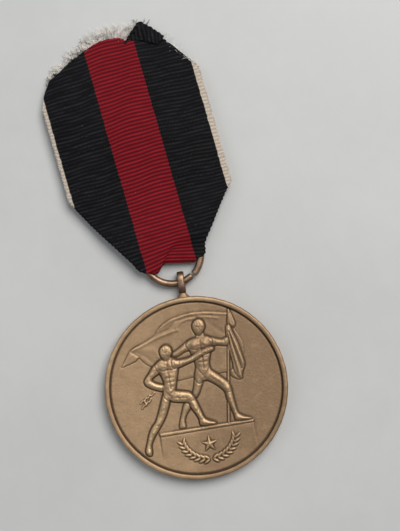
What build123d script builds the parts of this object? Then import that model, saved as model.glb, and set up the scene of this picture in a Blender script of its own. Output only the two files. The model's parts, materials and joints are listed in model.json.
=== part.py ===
"""A military service medal: a struck bronze disc hung from a split wire ring on a folded, striped ribbon.

The medal lies face up, as it would on a table. Millimetres, +Z towards the viewer, +Y from the disc's
centre to its eyelet. The origin is at the disc's centre, in the plane of its back rim.
"""

import os
from math import atan2, cos, degrees, radians, sin, sqrt

from build123d import *

# ------------------------------ disc
disc_diameter = 33.0
rim_thickness = 2.8
rim_width = 0.9
rim_round = 0.3
obverse_recess = 0.5
reverse_recess = 0.25
reverse_tablet_radius = 7.6

# ------------------------------ lug and eyelet
lug_base_width = 3.4
lug_neck_width = 1.3
lug_rise = 1.05
lug_thickness = 1.9
lug_round = 0.25
eyelet_wire_width = 1.25
eyelet_wire_thickness = 0.6
eyelet_length = 4.2
eyelet_play = 0.175
eyelet_gap_to_rim = 0.5
eyelet_round = 0.2

# ------------------------------ split ring
ring_wire = 1.25
ring_radius = 5.27
ring_lean = 11.0
ring_gap = 0.6
ring_gap_direction = -52.0

# ------------------------------ ribbon
ribbon_width = 29.0
ribbon_cloth = 0.36
ribbon_tilt = 7.8
ribbon_side_step = -0.55
ribbon_clearance = 0.12
bight_cloth = 0.64
bight_to_eyelet = 0.813
bight_side_play = 0.68
left_past_ring = 0.1
right_inside_ring = 0.2
bend_past_ring = 1.6
bend_height = 0.76
bend_rise = 0.74
bend_half_gap = 0.7
front_length = 40.0
back_length = 40.4
back_inset = 0.5
front_crown = 2.3
leg_gap = 0.03
corner_lift = 0.85
corner_roll = 0.8
fray_length = 2.4
fray_cloth = 0.25

# ------------------------------ relief heights above the field
relief_bite = 0.15
flag_relief = 0.14
drape_relief = 0.30
pole_relief = 0.24
plinth_relief = 0.18
figure_relief = 0.42
emblem_relief = 0.30
wreath_relief = 0.15
drawn_field_radius = 15.6

# ------------------------------ worked out
disc_radius = disc_diameter / 2
field_radius = disc_radius - rim_width
obverse_field = rim_thickness - obverse_recess
mid_height = rim_thickness / 2

scene_scale = field_radius / drawn_field_radius

eyelet_depth = ring_wire + 2 * (eyelet_play + eyelet_wire_thickness)
eyelet_centre_y = disc_radius + eyelet_gap_to_rim + eyelet_length / 2
ring_pin = Vector(0, eyelet_centre_y + 0.14, mid_height)
ring_centre = ring_pin + Vector(-sin(radians(ring_lean)), cos(radians(ring_lean)), 0) * ring_radius
ring_outer = ring_radius + ring_wire / 2
bight_depth = ring_centre.Y - (eyelet_centre_y + eyelet_length / 2) - bight_to_eyelet

ribbon_plane = Plane(
    origin=(ring_centre.X, ring_centre.Y, 0),
    x_dir=(cos(radians(ribbon_tilt)), sin(radians(ribbon_tilt)), 0),
    z_dir=(0, 0, 1),
)
ribbon_side_plane = Plane(origin=ribbon_plane.origin, x_dir=ribbon_plane.y_dir, z_dir=ribbon_plane.x_dir)
left_edge = ribbon_side_step - ribbon_width / 2
right_edge = ribbon_side_step + ribbon_width / 2
bight_top = mid_height + ring_wire / 2 + ribbon_clearance + bight_cloth
bight_bottom = mid_height - ring_wire / 2 - ribbon_clearance - bight_cloth
bight_width = 2 * (sqrt((ring_radius - ring_wire / 2) ** 2 - bight_depth**2) - bight_side_play)
bend_line = ring_outer + bend_past_ring
bend_start = bend_line - bend_half_gap
bend_end = bend_line + bend_half_gap
front_end_height = 2 * ribbon_cloth + leg_gap
corner_height = front_end_height + corner_lift


# ------------------------------ relief outlines
def limb_outline(start, end, start_radius, end_radius):
    """A limb seen from the front: the hull of a circle at each of its joints."""
    with BuildSketch() as limb:
        with Locations(start):
            Circle(start_radius)
        with Locations(end):
            Circle(end_radius)
        make_hull()
    return limb.sketch


def figure_outline(head, limbs):
    """A standing figure: its head, neck, trunk, arms and legs run into one outline."""
    with BuildSketch() as figure:
        with Locations(head[0]):
            Circle(head[1])
        for limb in limbs:
            add(limb_outline(*limb))
    return figure.sketch


def shape_outline(points):
    """A closed outline with straight sides through the given points."""
    with BuildSketch() as shape:
        with BuildLine():
            Polyline(*points, close=True)
        make_face()
    return shape.sketch


def star_outline(centre, radius, waist):
    """A plain star with five points."""
    turns = [radians(90 + 36 * k) for k in range(10)]
    reach = [radius if k % 2 == 0 else radius * waist for k in range(10)]
    return shape_outline(
        [(centre[0] + r * cos(a), centre[1] + r * sin(a)) for r, a in zip(reach, turns)]
    )


def spray_outline(foot, reach, rise, leaves, leaf_length, leaf_width, side):
    """One laurel spray that curves out and up from its foot, with leaves along it in pairs."""
    with BuildSketch() as spray:
        for k in range(leaves):
            turn = radians(90 * (k + 0.6) / leaves)
            x = foot[0] + side * reach * sin(turn)
            y = foot[1] + rise * (1 - cos(turn))
            along = degrees(atan2(rise * sin(turn), side * reach * cos(turn)))
            for lean in (-24, 24):
                with Locations(Location((x, y, 0), (0, 0, along + lean))):
                    with Locations((leaf_length * 0.3, 0)):
                        Ellipse(leaf_length / 2, leaf_width / 2)
    return spray.sketch


def wreath_outline(radius, leaves, leaf_length, leaf_width, opening):
    """Two rows of leaves round a circle, open at the top, for the reverse."""
    with BuildSketch() as wreath:
        for side in (-1, 1):
            for k in range(leaves):
                turn = -90 + side * (8 + (172 - opening) * k / (leaves - 1))
                x, y = radius * cos(radians(turn)), radius * sin(radians(turn))
                for lean in (-28, 28):
                    with Locations(Location((x, y, 0), (0, 0, turn + side * 90 + lean))):
                        with Locations((leaf_length * 0.3, 0)):
                            Ellipse(leaf_length / 2, leaf_width / 2)
    return wreath.sketch


bearer = figure_outline(
    ((1.95, 10.8), 1.25),
    [
        ((1.97, 9.9), (1.95, 8.2), 0.6, 0.75),
        ((0.55, 7.35), (3.25, 7.3), 0.85, 0.85),
        ((1.85, 7.0), (1.9, 4.3), 1.55, 1.15),
        ((1.9, 4.3), (1.75, 2.5), 1.15, 1.35),
        ((3.6, 7.5), (5.0, 6.95), 0.62, 0.5),
        ((5.0, 6.95), (6.9, 7.1), 0.5, 0.42),
        ((0.1, 7.6), (-2.1, 6.4), 0.66, 0.52),
        ((-2.1, 6.4), (-3.2, 5.6), 0.52, 0.4),
        ((2.4, 2.3), (5.6, -0.9), 1.1, 0.72),
        ((5.6, -0.9), (6.55, -5.6), 0.72, 0.36),
        ((6.55, -5.8), (8.8, -6.7), 0.36, 0.26),
        ((1.1, 2.2), (-0.5, -1.4), 1.0, 0.68),
        ((-0.5, -1.4), (-3.2, -6.2), 0.68, 0.34),
        ((-3.5, -6.5), (-2.8, -6.9), 0.4, 0.3),
    ],
)
companion = figure_outline(
    ((-4.75, 7.1), 1.15),
    [
        ((-4.6, 6.3), (-4.6, 5.2), 0.55, 0.7),
        ((-6.0, 4.3), (-3.6, 4.3), 0.8, 0.8),
        ((-4.8, 3.9), (-4.6, 1.5), 1.5, 1.1),
        ((-4.6, 1.5), (-4.5, -0.5), 1.1, 1.35),
        ((-3.4, 4.4), (0.3, 5.2), 0.66, 0.52),
        ((0.3, 5.2), (3.4, 6.4), 0.5, 0.38),
        ((-6.4, 4.4), (-8.3, 2.4), 0.62, 0.5),
        ((-8.3, 2.4), (-6.4, 0.8), 0.5, 0.38),
        ((-4.0, -0.9), (-0.8, -1.7), 1.1, 0.75),
        ((-0.8, -1.7), (0.45, -6.1), 0.72, 0.36),
        ((0.5, -6.3), (2.5, -6.9), 0.36, 0.26),
        ((-5.1, -0.9), (-6.9, -4.8), 1.05, 0.72),
        ((-6.9, -4.8), (-9.7, -9.4), 0.7, 0.36),
        ((-9.75, -9.6), (-10.1, -10.8), 0.4, 0.3),
    ],
)
flag = shape_outline(
    [
        (-12.5, 5.7),
        (-10.8, 8.3),
        (-5.6, 10.4),
        (-4.2, 11.9),
        (-2.0, 13.2),
        (0.7, 13.6),
        (4.1, 13.2),
        (7.3, 12.4),
        (6.5, 4.2),
        (-0.1, 2.1),
        (-2.8, 1.8),
        (-7.5, 4.9),
        (-9.7, 7.0),
    ]
)
drape = shape_outline(
    [(7.8, 13.1), (8.5, 10.3), (9.2, 6.5), (9.25, 2.7), (8.2, 0.4), (6.9, 1.5), (6.8, 9.5)]
)
pole = limb_outline((7.75, 12.6), (5.05, -6.8), 0.22, 0.22)
plinth = shape_outline(
    [(-7.7, -7.3), (9.45, -6.9), (9.4, -9.6), (8.2, -12.4), (-6.2, -12.7), (-7.6, -10.6)]
)
emblem_foot = (0.9, -13.0)

# ------------------------------ struck disc, one piece with its lug and relief
with BuildPart() as medal_disc:
    with BuildSketch(Plane.XZ):
        with BuildLine():
            Polyline(
                (0, 0),
                (reverse_tablet_radius, 0),
                (reverse_tablet_radius, reverse_recess),
                (field_radius, reverse_recess),
                (field_radius, 0),
                (disc_radius, 0),
                (disc_radius, rim_thickness),
                (field_radius, rim_thickness),
                (field_radius, obverse_field),
                (0, obverse_field),
                close=True,
            )
        make_face()
    revolve(axis=Axis.Z)
    outer_edges = medal_disc.edges().filter_by(GeomType.CIRCLE).group_by(SortBy.RADIUS)[-1]
    fillet(outer_edges, rim_round)

    base_y = sqrt(disc_radius**2 - (lug_base_width / 2) ** 2)
    with BuildSketch(Plane.XY.offset(mid_height - lug_thickness / 2)):
        with BuildLine():
            neck_y = disc_radius + lug_rise
            foot = Line((-lug_base_width / 2, base_y - 0.3), (lug_base_width / 2, base_y - 0.3))
            right_wall = Line(foot @ 1, (lug_base_width / 2, base_y))
            right_flare = RadiusArc(right_wall @ 1, (lug_neck_width / 2, neck_y), 1.6)
            top = Line(right_flare @ 1, (-lug_neck_width / 2, neck_y))
            left_flare = RadiusArc(top @ 1, (-lug_base_width / 2, base_y), 1.6)
            Line(left_flare @ 1, foot @ 0)
        make_face()
    extrude(amount=lug_thickness)

    for outline, height in (
        (flag, flag_relief),
        (pole, pole_relief),
        (drape, drape_relief),
        (plinth, plinth_relief),
        (bearer, figure_relief),
        (companion, figure_relief),
        (star_outline((emblem_foot[0], -10.2), 1.5, 0.42), emblem_relief),
        (spray_outline(emblem_foot, 5.0, 4.0, 6, 1.7, 0.62, -1), emblem_relief),
        (spray_outline(emblem_foot, 5.0, 4.0, 6, 1.7, 0.62, 1), emblem_relief),
    ):
        with BuildSketch(Plane.XY.offset(obverse_field - relief_bite)):
            add(outline)
            scale(by=scene_scale)
        extrude(amount=relief_bite + height)

    with BuildSketch(Plane.XY.offset(reverse_recess - wreath_relief)):
        add(wreath_outline(11.2, 14, 2.6, 0.95, 22))
        scale(by=scene_scale)
    extrude(amount=wreath_relief + relief_bite)

    # the seat that the eyelet is brazed into
    with BuildSketch(Plane(origin=(0, eyelet_centre_y, mid_height), x_dir=(0, 1, 0), z_dir=(1, 0, 0))):
        SlotOverall(eyelet_length, eyelet_depth)
    extrude(amount=lug_base_width, both=True, mode=Mode.SUBTRACT)
medal_disc.part.label = "medal_disc"

# ------------------------------ eyelet, a flattened wire loop that stands across the disc
with BuildPart() as suspension_eyelet:
    with BuildSketch(Plane(origin=(0, eyelet_centre_y, mid_height), x_dir=(0, 1, 0), z_dir=(1, 0, 0))):
        SlotOverall(eyelet_length, eyelet_depth)
        SlotOverall(
            eyelet_length - 2 * eyelet_wire_thickness,
            eyelet_depth - 2 * eyelet_wire_thickness,
            mode=Mode.SUBTRACT,
        )
    extrude(amount=eyelet_wire_width / 2, both=True)
    side_faces = suspension_eyelet.faces().filter_by(Axis.X)
    fillet(side_faces.edges(), eyelet_round)
suspension_eyelet.part.label = "suspension_eyelet"

# ------------------------------ ring, one turn of round wire with a sawn gap
gap_turn = degrees(ring_gap / ring_radius)
ring_start = radians(ring_gap_direction + gap_turn / 2)
with BuildPart() as suspension_ring:
    with BuildSketch(
        Plane(
            origin=ring_centre,
            x_dir=(cos(ring_start), sin(ring_start), 0),
            z_dir=(sin(ring_start), -cos(ring_start), 0),
        )
    ):
        with Locations((ring_radius, 0)):
            Circle(ring_wire / 2)
    revolve(axis=Axis(ring_centre, (0, 0, 1)), revolution_arc=360 - gap_turn)
suspension_ring.part.label = "suspension_ring"

# ------------------------------ ribbon outlines, seen from the front
# Below the shoulders the cloth is folded in behind itself, so that it narrows to pass through the ring.
left_shoulder = 14.6
right_shoulder = 10.4
waist_left = -ring_outer - left_past_ring
waist_right = ring_outer - right_inside_ring
waist_along = bight_top - mid_height - bight_depth


def fold_left(along):
    """The left folded edge's place across the ribbon, at a distance along it."""
    share = (along - waist_along) / (left_shoulder - waist_along)
    return waist_left + (left_edge - waist_left) * share


def fold_right(along):
    """The right folded edge's place across the ribbon, at a distance along it."""
    share = (along - waist_along) / (right_shoulder - waist_along)
    return waist_right + (right_edge - waist_right) * share


def leg_outline(length, inset, corner_drop):
    """A leg above the bend: folded edges up to its shoulders, then the full width to the cut end."""
    return shape_outline(
        [
            (fold_left(bend_end) + inset, bend_end),
            (fold_right(bend_end) - inset, bend_end),
            (right_edge - inset, right_shoulder + inset),
            (right_edge - inset, length - 2 * corner_drop),
            (right_edge - ribbon_width * 0.28, length),
            (left_edge + ribbon_width * 0.38, length),
            (left_edge + inset, length - corner_drop),
            (left_edge + inset, left_shoulder + inset),
        ]
    )


# ------------------------------ bight, where the gathered cloth goes through the ring
with BuildPart() as ribbon_bight:
    with BuildSketch(ribbon_side_plane):
        with BuildLine():
            outer_top = Line((bend_start, bend_height + bend_rise), (ring_outer + 0.2, bight_top))
            over = Line(outer_top @ 1, (waist_along, bight_top))
            nose = ThreePointArc(
                over @ 1, (-bight_depth, mid_height), (waist_along, bight_bottom)
            )
            Line(nose @ 1, (bend_start, bight_bottom))
            Line((bend_start, bight_bottom), outer_top @ 0)
        make_face()
        with BuildLine():
            inner_reach = mid_height - bight_bottom - bight_cloth
            hollow_end = ring_outer + ribbon_clearance
            turn_start = inner_reach - bight_depth + bight_cloth
            inner_top = Line((hollow_end, mid_height + inner_reach), (turn_start, mid_height + inner_reach))
            inner_nose = ThreePointArc(
                inner_top @ 1,
                (bight_cloth - bight_depth, mid_height),
                (turn_start, mid_height - inner_reach),
            )
            Line(inner_nose @ 1, (hollow_end, mid_height - inner_reach))
            Line((hollow_end, mid_height - inner_reach), inner_top @ 0)
        make_face(mode=Mode.SUBTRACT)
    extrude(amount=ribbon_width, both=True)
    with BuildSketch(ribbon_plane):
        add(
            shape_outline(
                [
                    (-bight_width / 2, -bight_depth),
                    (bight_width / 2, -bight_depth),
                    (bight_width / 2, bight_cloth * 1.2 - bight_depth),
                    (waist_right, waist_along),
                    (fold_right(bend_start), bend_start),
                    (fold_left(bend_start), bend_start),
                    (waist_left, waist_along),
                    (-bight_width / 2, bight_cloth * 1.2 - bight_depth),
                ]
            )
        )
    extrude(amount=2 * rim_thickness, both=True, mode=Mode.INTERSECT)
ribbon_bight.part.label = "ribbon_bight"

# ------------------------------ front leg, a crowned sheet over the back leg
with BuildPart() as ribbon_front_leg:
    with BuildSketch(ribbon_side_plane):
        with BuildLine():
            crest = Spline(
                (bend_end, bend_height + bend_rise),
                (0.45 * front_length, front_crown),
                (front_length, front_end_height),
            )
            front_end = Line(crest @ 1, (crest @ 1) - Vector(0, ribbon_cloth))
            hollow = Spline(
                front_end @ 1,
                (0.45 * front_length, front_crown - ribbon_cloth),
                (bend_end, bend_height + bend_rise - ribbon_cloth),
            )
            Line(hollow @ 1, crest @ 0)
        make_face()
    extrude(amount=ribbon_width, both=True)
    with BuildSketch(ribbon_plane):
        add(leg_outline(front_length, 0, 3.6))
    extrude(amount=2 * rim_thickness, both=True, mode=Mode.INTERSECT)
ribbon_front_leg.part.label = "ribbon_front_leg"

# ------------------------------ back leg, flat on the table
with BuildPart() as ribbon_back_leg:
    with BuildSketch(ribbon_plane):
        add(leg_outline(back_length, back_inset, 3.6))
    extrude(amount=ribbon_cloth)
ribbon_back_leg.part.label = "ribbon_back_leg"

# ------------------------------ frayed end, the loose weft threads past the back leg's cut
with BuildPart() as ribbon_frayed_end:
    with BuildSketch(ribbon_plane):
        add(leg_outline(back_length + fray_length, back_inset, 3.6))
        add(leg_outline(back_length, back_inset, 3.6), mode=Mode.SUBTRACT)
    extrude(amount=fray_cloth)
ribbon_frayed_end.part.label = "ribbon_frayed_end"

# ------------------------------ turned corner, the torn end that has curled over the front
corner_root = (right_edge - 1.4, front_length - 6.0)
with BuildPart() as ribbon_turned_corner:
    with BuildSketch(ribbon_plane.offset(corner_height)):
        add(
            shape_outline(
                [
                    corner_root,
                    (5.5, front_length + 2.0),
                    (3.0, front_length - 0.1),
                    (4.4, front_length - 1.4),
                    (8.2, front_length - 3.5),
                ]
            )
        )
    extrude(amount=corner_roll)
ribbon_turned_corner.part.label = "ribbon_turned_corner"

# ------------------------------ write one file for each piece
os.makedirs("parts", exist_ok=True)
for piece in (
    medal_disc,
    suspension_eyelet,
    suspension_ring,
    ribbon_bight,
    ribbon_front_leg,
    ribbon_back_leg,
    ribbon_frayed_end,
    ribbon_turned_corner,
):
    export_step(piece.part, f"parts/{piece.part.label}.step")
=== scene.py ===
"""The looks of a military service medal: struck bronze disc, eyelet, split ring and folded ribbon.

Lengths in the shaping code are millimetres, and become metres when a mesh is made.
"""

import json
import math

import bmesh
import bpy
import numpy as np
from bpy.props import FloatProperty, FloatVectorProperty, IntProperty, PointerProperty
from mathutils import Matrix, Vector


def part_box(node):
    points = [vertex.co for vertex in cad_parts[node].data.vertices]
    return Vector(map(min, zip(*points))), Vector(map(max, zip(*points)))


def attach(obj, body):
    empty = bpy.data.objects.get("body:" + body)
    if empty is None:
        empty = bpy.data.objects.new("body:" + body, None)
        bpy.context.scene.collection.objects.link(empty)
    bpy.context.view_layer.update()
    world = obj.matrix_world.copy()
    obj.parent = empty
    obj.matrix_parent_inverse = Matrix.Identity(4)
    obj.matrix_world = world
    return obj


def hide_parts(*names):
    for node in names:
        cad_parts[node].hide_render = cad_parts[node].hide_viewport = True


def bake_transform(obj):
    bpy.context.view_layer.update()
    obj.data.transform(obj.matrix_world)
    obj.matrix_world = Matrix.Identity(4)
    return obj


bl_info = {
    "name": "Service Medal",
    "version": (1, 0, 0),
    "blender": (4, 5, 0),
    "location": "3D View > Sidebar > Medal",
    "description": "Builds a struck bronze medal that hangs from a folded, striped ribbon",
    "category": "Object",
}

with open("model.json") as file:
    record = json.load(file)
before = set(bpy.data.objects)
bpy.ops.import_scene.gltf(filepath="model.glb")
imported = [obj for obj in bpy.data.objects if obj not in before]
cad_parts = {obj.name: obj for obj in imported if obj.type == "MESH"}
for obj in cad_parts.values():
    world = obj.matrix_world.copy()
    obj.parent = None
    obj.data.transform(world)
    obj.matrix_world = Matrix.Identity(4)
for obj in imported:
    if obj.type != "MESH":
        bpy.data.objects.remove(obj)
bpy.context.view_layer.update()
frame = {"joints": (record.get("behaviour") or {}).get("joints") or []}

MM = 0.001


# ------------------------------------------------------------ materials
class Wire:
    """One output socket of a node tree. Arithmetic on it adds the Math nodes that work it out."""

    def __init__(self, owner, socket):
        self.owner = owner
        self.socket = socket

    def maths(self, operation, *values):
        """A Math node on any values, which can be wires or numbers."""
        return self.owner.node("ShaderNodeMath", {"operation": operation}, dict(enumerate(values)))

    def __add__(self, other):
        return self.maths("ADD", self, other)

    __radd__ = __add__

    def __sub__(self, other):
        return self.maths("SUBTRACT", self, other)

    def __rsub__(self, other):
        return self.maths("SUBTRACT", other, self)

    def __mul__(self, other):
        return self.maths("MULTIPLY", self, other)

    __rmul__ = __mul__

    def __truediv__(self, other):
        return self.maths("DIVIDE", self, other)

    def __abs__(self):
        return self.maths("ABSOLUTE", self)

    def cosine(self):
        """The cosine of this wire's value."""
        return self.maths("COSINE", self)

    def ramp(self, low, high):
        """0 at low and 1 at high, with soft ends."""
        settings = {"interpolation_type": "SMOOTHSTEP"}
        return self.owner.node("ShaderNodeMapRange", settings, {0: self, 1: low, 2: high})


class Nodes:
    """A node tree being built."""

    def node(self, kind, settings=(), inputs=(), output=0):
        """Adds a node: its settings first, then its sockets' values or links."""
        made = self.tree.nodes.new(kind)
        for name, value in dict(settings).items():
            setattr(made, name, value)
        for key, value in dict(inputs).items():
            self.feed(made.inputs[key], value)
        return Wire(self, made.outputs[output])

    def feed(self, socket, value):
        """Links a wire to a socket, or sets the socket's own value."""
        if isinstance(value, Wire):
            self.tree.links.new(value.socket, socket)
        else:
            socket.default_value = value


class Finish(Nodes):
    """A material being built on one Principled surface."""

    def __init__(self, name, **surface):
        self.material = bpy.data.materials.new(name)
        self.material.use_nodes = True
        self.tree = self.material.node_tree
        self.tree.nodes.clear()
        output = self.tree.nodes.new("ShaderNodeOutputMaterial")
        self.surface = self.tree.nodes.new("ShaderNodeBsdfPrincipled")
        self.tree.links.new(self.surface.outputs[0], output.inputs[0])
        self.paint(**surface)

    def coordinates(self):
        """Places on the object at rest, in metres."""
        place = self.node("ShaderNodeTexCoord", output=3)
        return self.node("ShaderNodeMapping", inputs={"Vector": place})

    def measure(self, name):
        """A number stored on the mesh's points."""
        return self.node("ShaderNodeAttribute", {"attribute_name": name}, output=2)

    def noise(self, scale, detail=3.0, rough=0.5, vector=None):
        """Cloudy noise from 0 to 1; the scale is in clouds to a metre."""
        inputs = {"Vector": vector or self.coordinates()}
        inputs.update({"Scale": scale, "Detail": detail, "Roughness": rough})
        return self.node("ShaderNodeTexNoise", inputs=inputs)

    def mix(self, share, first, second):
        """The first colour where the share is 0, and the second where it is 1."""
        inputs = {0: share, 6: colour(first), 7: colour(second)}
        return self.node("ShaderNodeMix", {"data_type": "RGBA"}, inputs, 2)

    def bump(self, height, strength, distance):
        """The surface's direction, tilted by a fine height."""
        inputs = {"Height": height, "Strength": strength, "Distance": distance}
        return self.node("ShaderNodeBump", inputs=inputs)

    def paint(self, **channels):
        """Feeds the surface's sockets, and gives the material."""
        for socket, value in channels.items():
            self.feed(self.surface.inputs[socket.replace("_", " ")], value)
        return self.material


def colour(value):
    """A colour as a socket takes it; a link is passed on."""
    return value if isinstance(value, Wire) else (*value, 1.0)


def struck_bronze(settings):
    """Toned satin bronze: dark in the hollows, rubbed to a golden brown where it stands up, and darkened
    towards the right as painted shade.
    """
    finish = Finish("struck_bronze", Metallic=0.84, IOR=1.5)
    hollow, worn = finish.measure("hollow"), finish.measure("worn")
    cloud = finish.noise(120.0, 4.0, 0.62)
    patch = finish.noise(620.0, 4.0, 0.68)
    grain = finish.noise(3800.0, 4.0, 0.8)
    speck = finish.noise(1900.0, 2.0, 0.55).ramp(0.64, 0.72)
    fleck = finish.noise(2700.0, 2.0, 0.55).ramp(0.67, 0.74)
    # Painted shade: the field grows darker towards the right (+x), mixed with random cloudy toning.
    side = finish.node("ShaderNodeSeparateXYZ", inputs={0: finish.coordinates()})
    toned = (side * 42.0 + (cloud - 0.5) * 1.6 + 0.45).ramp(0.0, 1.0)
    tone = finish.mix(toned, settings.field, settings.field_shadow)
    tone = finish.mix(patch.ramp(0.5, 0.78) * 0.4, tone, settings.field_light)
    tone = finish.mix((0.62 - patch).ramp(0.05, 0.3) * 0.35, tone, settings.field_shadow)
    # Rubbed bronze also takes the painted shade: it shifts to the field's lighter colour on the right.
    rubbed = finish.mix(toned, settings.rubbed, settings.field_light)
    tone = finish.mix((worn * (0.25 + 0.85 * patch)).ramp(0.1, 1.0), tone, rubbed)
    tone = finish.mix(hollow.ramp(0.05, 0.95) * 0.92, tone, settings.hollow)
    tone = finish.mix(speck * 0.3, tone, settings.hollow)
    tone = finish.mix(fleck * 0.3, tone, settings.rubbed)
    return finish.paint(
        Base_Color=tone,
        Roughness=0.5 + 0.14 * hollow - 0.06 * worn + 0.1 * patch,
        Normal=finish.bump(grain + 0.5 * patch, 0.5, 0.00005),
    )


def drawn_bronze(name, dark, light):
    """Wire of toned bronze, rubbed brighter in random streaks."""
    finish = Finish(name, Metallic=0.9, IOR=1.5)
    cloud = finish.noise(420.0, 4.0, 0.6)
    streak = finish.noise(2400.0, 3.0, 0.6)
    pit = finish.noise(5200.0, 2.0, 0.6)
    tone = finish.mix((cloud * 0.7 + streak * 0.3).ramp(0.38, 0.68), dark, light)
    return finish.paint(
        Base_Color=tone,
        Roughness=0.3 + 0.22 * cloud,
        Normal=finish.bump(pit + streak, 0.3, 0.00003),
    )


# Painted highlight colours: glints on the rib crowns of the dark and the centre stripes.
DARK_GLINT, RED_GLINT = (0.07, 0.07, 0.078), (0.46, 0.04, 0.055)
# Painted shade colours for the grooves between the ribs, one for each stripe.
DARK_GROOVE_SHADE, RED_GROOVE_SHADE, PALE_GROOVE_SHADE = (0.0015, 0.0015, 0.002), (0.062, 0.0015, 0.004), (0.36, 0.3, 0.22)
LINT = (0.35, 0.32, 0.31)


def ribbed_cloth(settings):
    """Ribbed ribbon: the stripe comes from the place across it; the painted shade in the grooves and the
    painted glints on the rib crowns come from the place along it.
    """
    surface = {"Sheen_Weight": 0.02, "Sheen_Roughness": 0.4, "Specular_IOR_Level": 0.1}
    finish = Finish("ribbed_cloth", Metallic=0.0, **surface)
    across, along = finish.measure("across"), finish.measure("along")
    rib = along / settings.rib_pitch
    groove = 0.5 + 0.5 * (rib * math.tau).cosine()
    thread_place = finish.node("ShaderNodeCombineXYZ", inputs={0: across * 8.0, 1: along * 1.4})
    thread = finish.noise(1.0, 2.0, 0.7, thread_place)
    rib_place = finish.node("ShaderNodeCombineXYZ", inputs={0: across * 0.3, 1: rib})
    rib_tone = finish.noise(1.0, 1.0, 0.5, rib_place).ramp(0.3, 0.75)
    step_place = finish.node("ShaderNodeCombineXYZ", inputs={0: rib.maths("ROUND", rib) * 3.7})
    ragged = abs(across) + 0.24 * (finish.noise(1.0, 0.0, 0.5, step_place) - 0.5)
    centre = 1.0 - ragged.ramp(settings.centre_half - 0.05, settings.centre_half + 0.05)
    edge = (ragged + 0.014 * across).ramp(settings.edge_inner - 0.06, settings.edge_inner + 0.06)
    pale = finish.mix(thread.ramp(0.3, 0.7), settings.edge_shadow, settings.edge)
    dye_and_glint = finish.mix(
        centre,
        finish.mix(rib_tone, settings.dark, settings.dark_light),
        finish.mix(rib_tone, settings.centre, settings.centre_light),
    )
    # Painted highlights: glints on the rib crowns, where the thread noise is high.
    glint = finish.mix(centre, DARK_GLINT, RED_GLINT)
    dye_and_glint = finish.mix(thread.ramp(0.5, 0.85) * (1.0 - groove) * 0.55, dye_and_glint, glint)
    # Painted shade: the grooves between the ribs are darkened.
    groove_shade = finish.mix(edge, finish.mix(centre, DARK_GROOVE_SHADE, RED_GROOVE_SHADE), PALE_GROOVE_SHADE)
    tone = finish.mix(groove.ramp(0.15, 0.85) * 0.95, finish.mix(edge, dye_and_glint, pale), groove_shade)
    lint = finish.noise(1500.0, 1.0, 0.4).ramp(0.81, 0.83)
    tone = finish.mix(lint * 0.25, tone, LINT)
    return finish.paint(
        Base_Color=tone,
        Roughness=0.6 + 0.2 * thread,
        Normal=finish.bump(thread, 0.3, 0.00005),
    )


def loose_thread(name, dark, light):
    """Soft, dull thread, a little uneven in colour."""
    finish = Finish(name, Metallic=0.0, Sheen_Weight=0.3, Roughness=0.85, Specular_IOR_Level=0.25)
    cloud = finish.noise(900.0, 2.0, 0.6)
    return finish.paint(Base_Color=finish.mix(cloud.ramp(0.35, 0.65), dark, light))


def pale_table(settings):
    """A smooth, pale grey table with faint clouds."""
    finish = Finish("pale_table", Metallic=0.0, Roughness=0.42)
    cloud = finish.noise(28.0, 4.0, 0.55)
    fine = finish.noise(260.0, 3.0, 0.6)
    tone = finish.mix((cloud * 0.8 + fine * 0.2).ramp(0.35, 0.65), settings.table_shadow, settings.table)
    return finish.paint(Base_Color=tone, Roughness=0.38 + 0.1 * cloud)


# ------------------------------------------------------------ meshes
def in_scene(name, data):
    """A new object in the scene."""
    made = bpy.data.objects.new(name, data)
    bpy.context.scene.collection.objects.link(made)
    return made


def store(mesh, measures):
    """Keeps numbers or directions on a mesh's points, by name."""
    for label, values in dict(measures).items():
        kind, key = ("FLOAT_VECTOR", "vector") if values.ndim == 2 else ("FLOAT", "value")
        layer = mesh.attributes.new(label, kind, "POINT")
        layer.data.foreach_set(key, np.ascontiguousarray(values, dtype=np.float32).ravel())


def mesh_piece(name, points, faces, material, body, measures=(), smooth=True):
    """A mesh object from points in millimetres, with any numbers stored on its points, riding on a body."""
    mesh = bpy.data.meshes.new(name)
    mesh.from_pydata((np.asarray(points) * MM).tolist(), [], faces)
    store(mesh, measures)
    mesh.polygons.foreach_set("use_smooth", [smooth] * len(mesh.polygons))
    mesh.materials.append(material)
    mesh.update()
    piece = in_scene(name, mesh)
    if body:
        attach(piece, body)
    return piece


def grid_faces(rows, columns, start=0, close_columns=False, close_rows=False, flip=False):
    """The quads of a grid of points stored row by row."""
    row = np.arange(rows if close_rows else rows - 1)[:, None]
    column = np.arange(columns if close_columns else columns - 1)[None, :]
    next_row, next_column = (row + 1) % rows, (column + 1) % columns
    corners = [(row, column), (row, next_column), (next_row, next_column), (next_row, column)]
    quads = np.stack([(r * columns + c).ravel() for r, c in corners], axis=1) + start
    return quads[:, ::-1] if flip else quads


def band_faces(first, second):
    """The quads between two closed loops that have the same number of points."""
    return np.stack([first, second, np.roll(second, -1), np.roll(first, -1)], axis=1)


def welded(piece, distance=1e-8):
    """Merges coincident points, drops bare ones and turns every face outwards."""
    work = bmesh.new()
    work.from_mesh(piece.data)
    bmesh.ops.remove_doubles(work, verts=work.verts, dist=distance)
    bmesh.ops.dissolve_degenerate(work, edges=work.edges, dist=distance)
    bmesh.ops.delete(work, geom=[v for v in work.verts if not v.link_faces], context="VERTS")
    bmesh.ops.recalc_face_normals(work, faces=work.faces)
    work.to_mesh(piece.data)
    work.free()
    return piece


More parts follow.
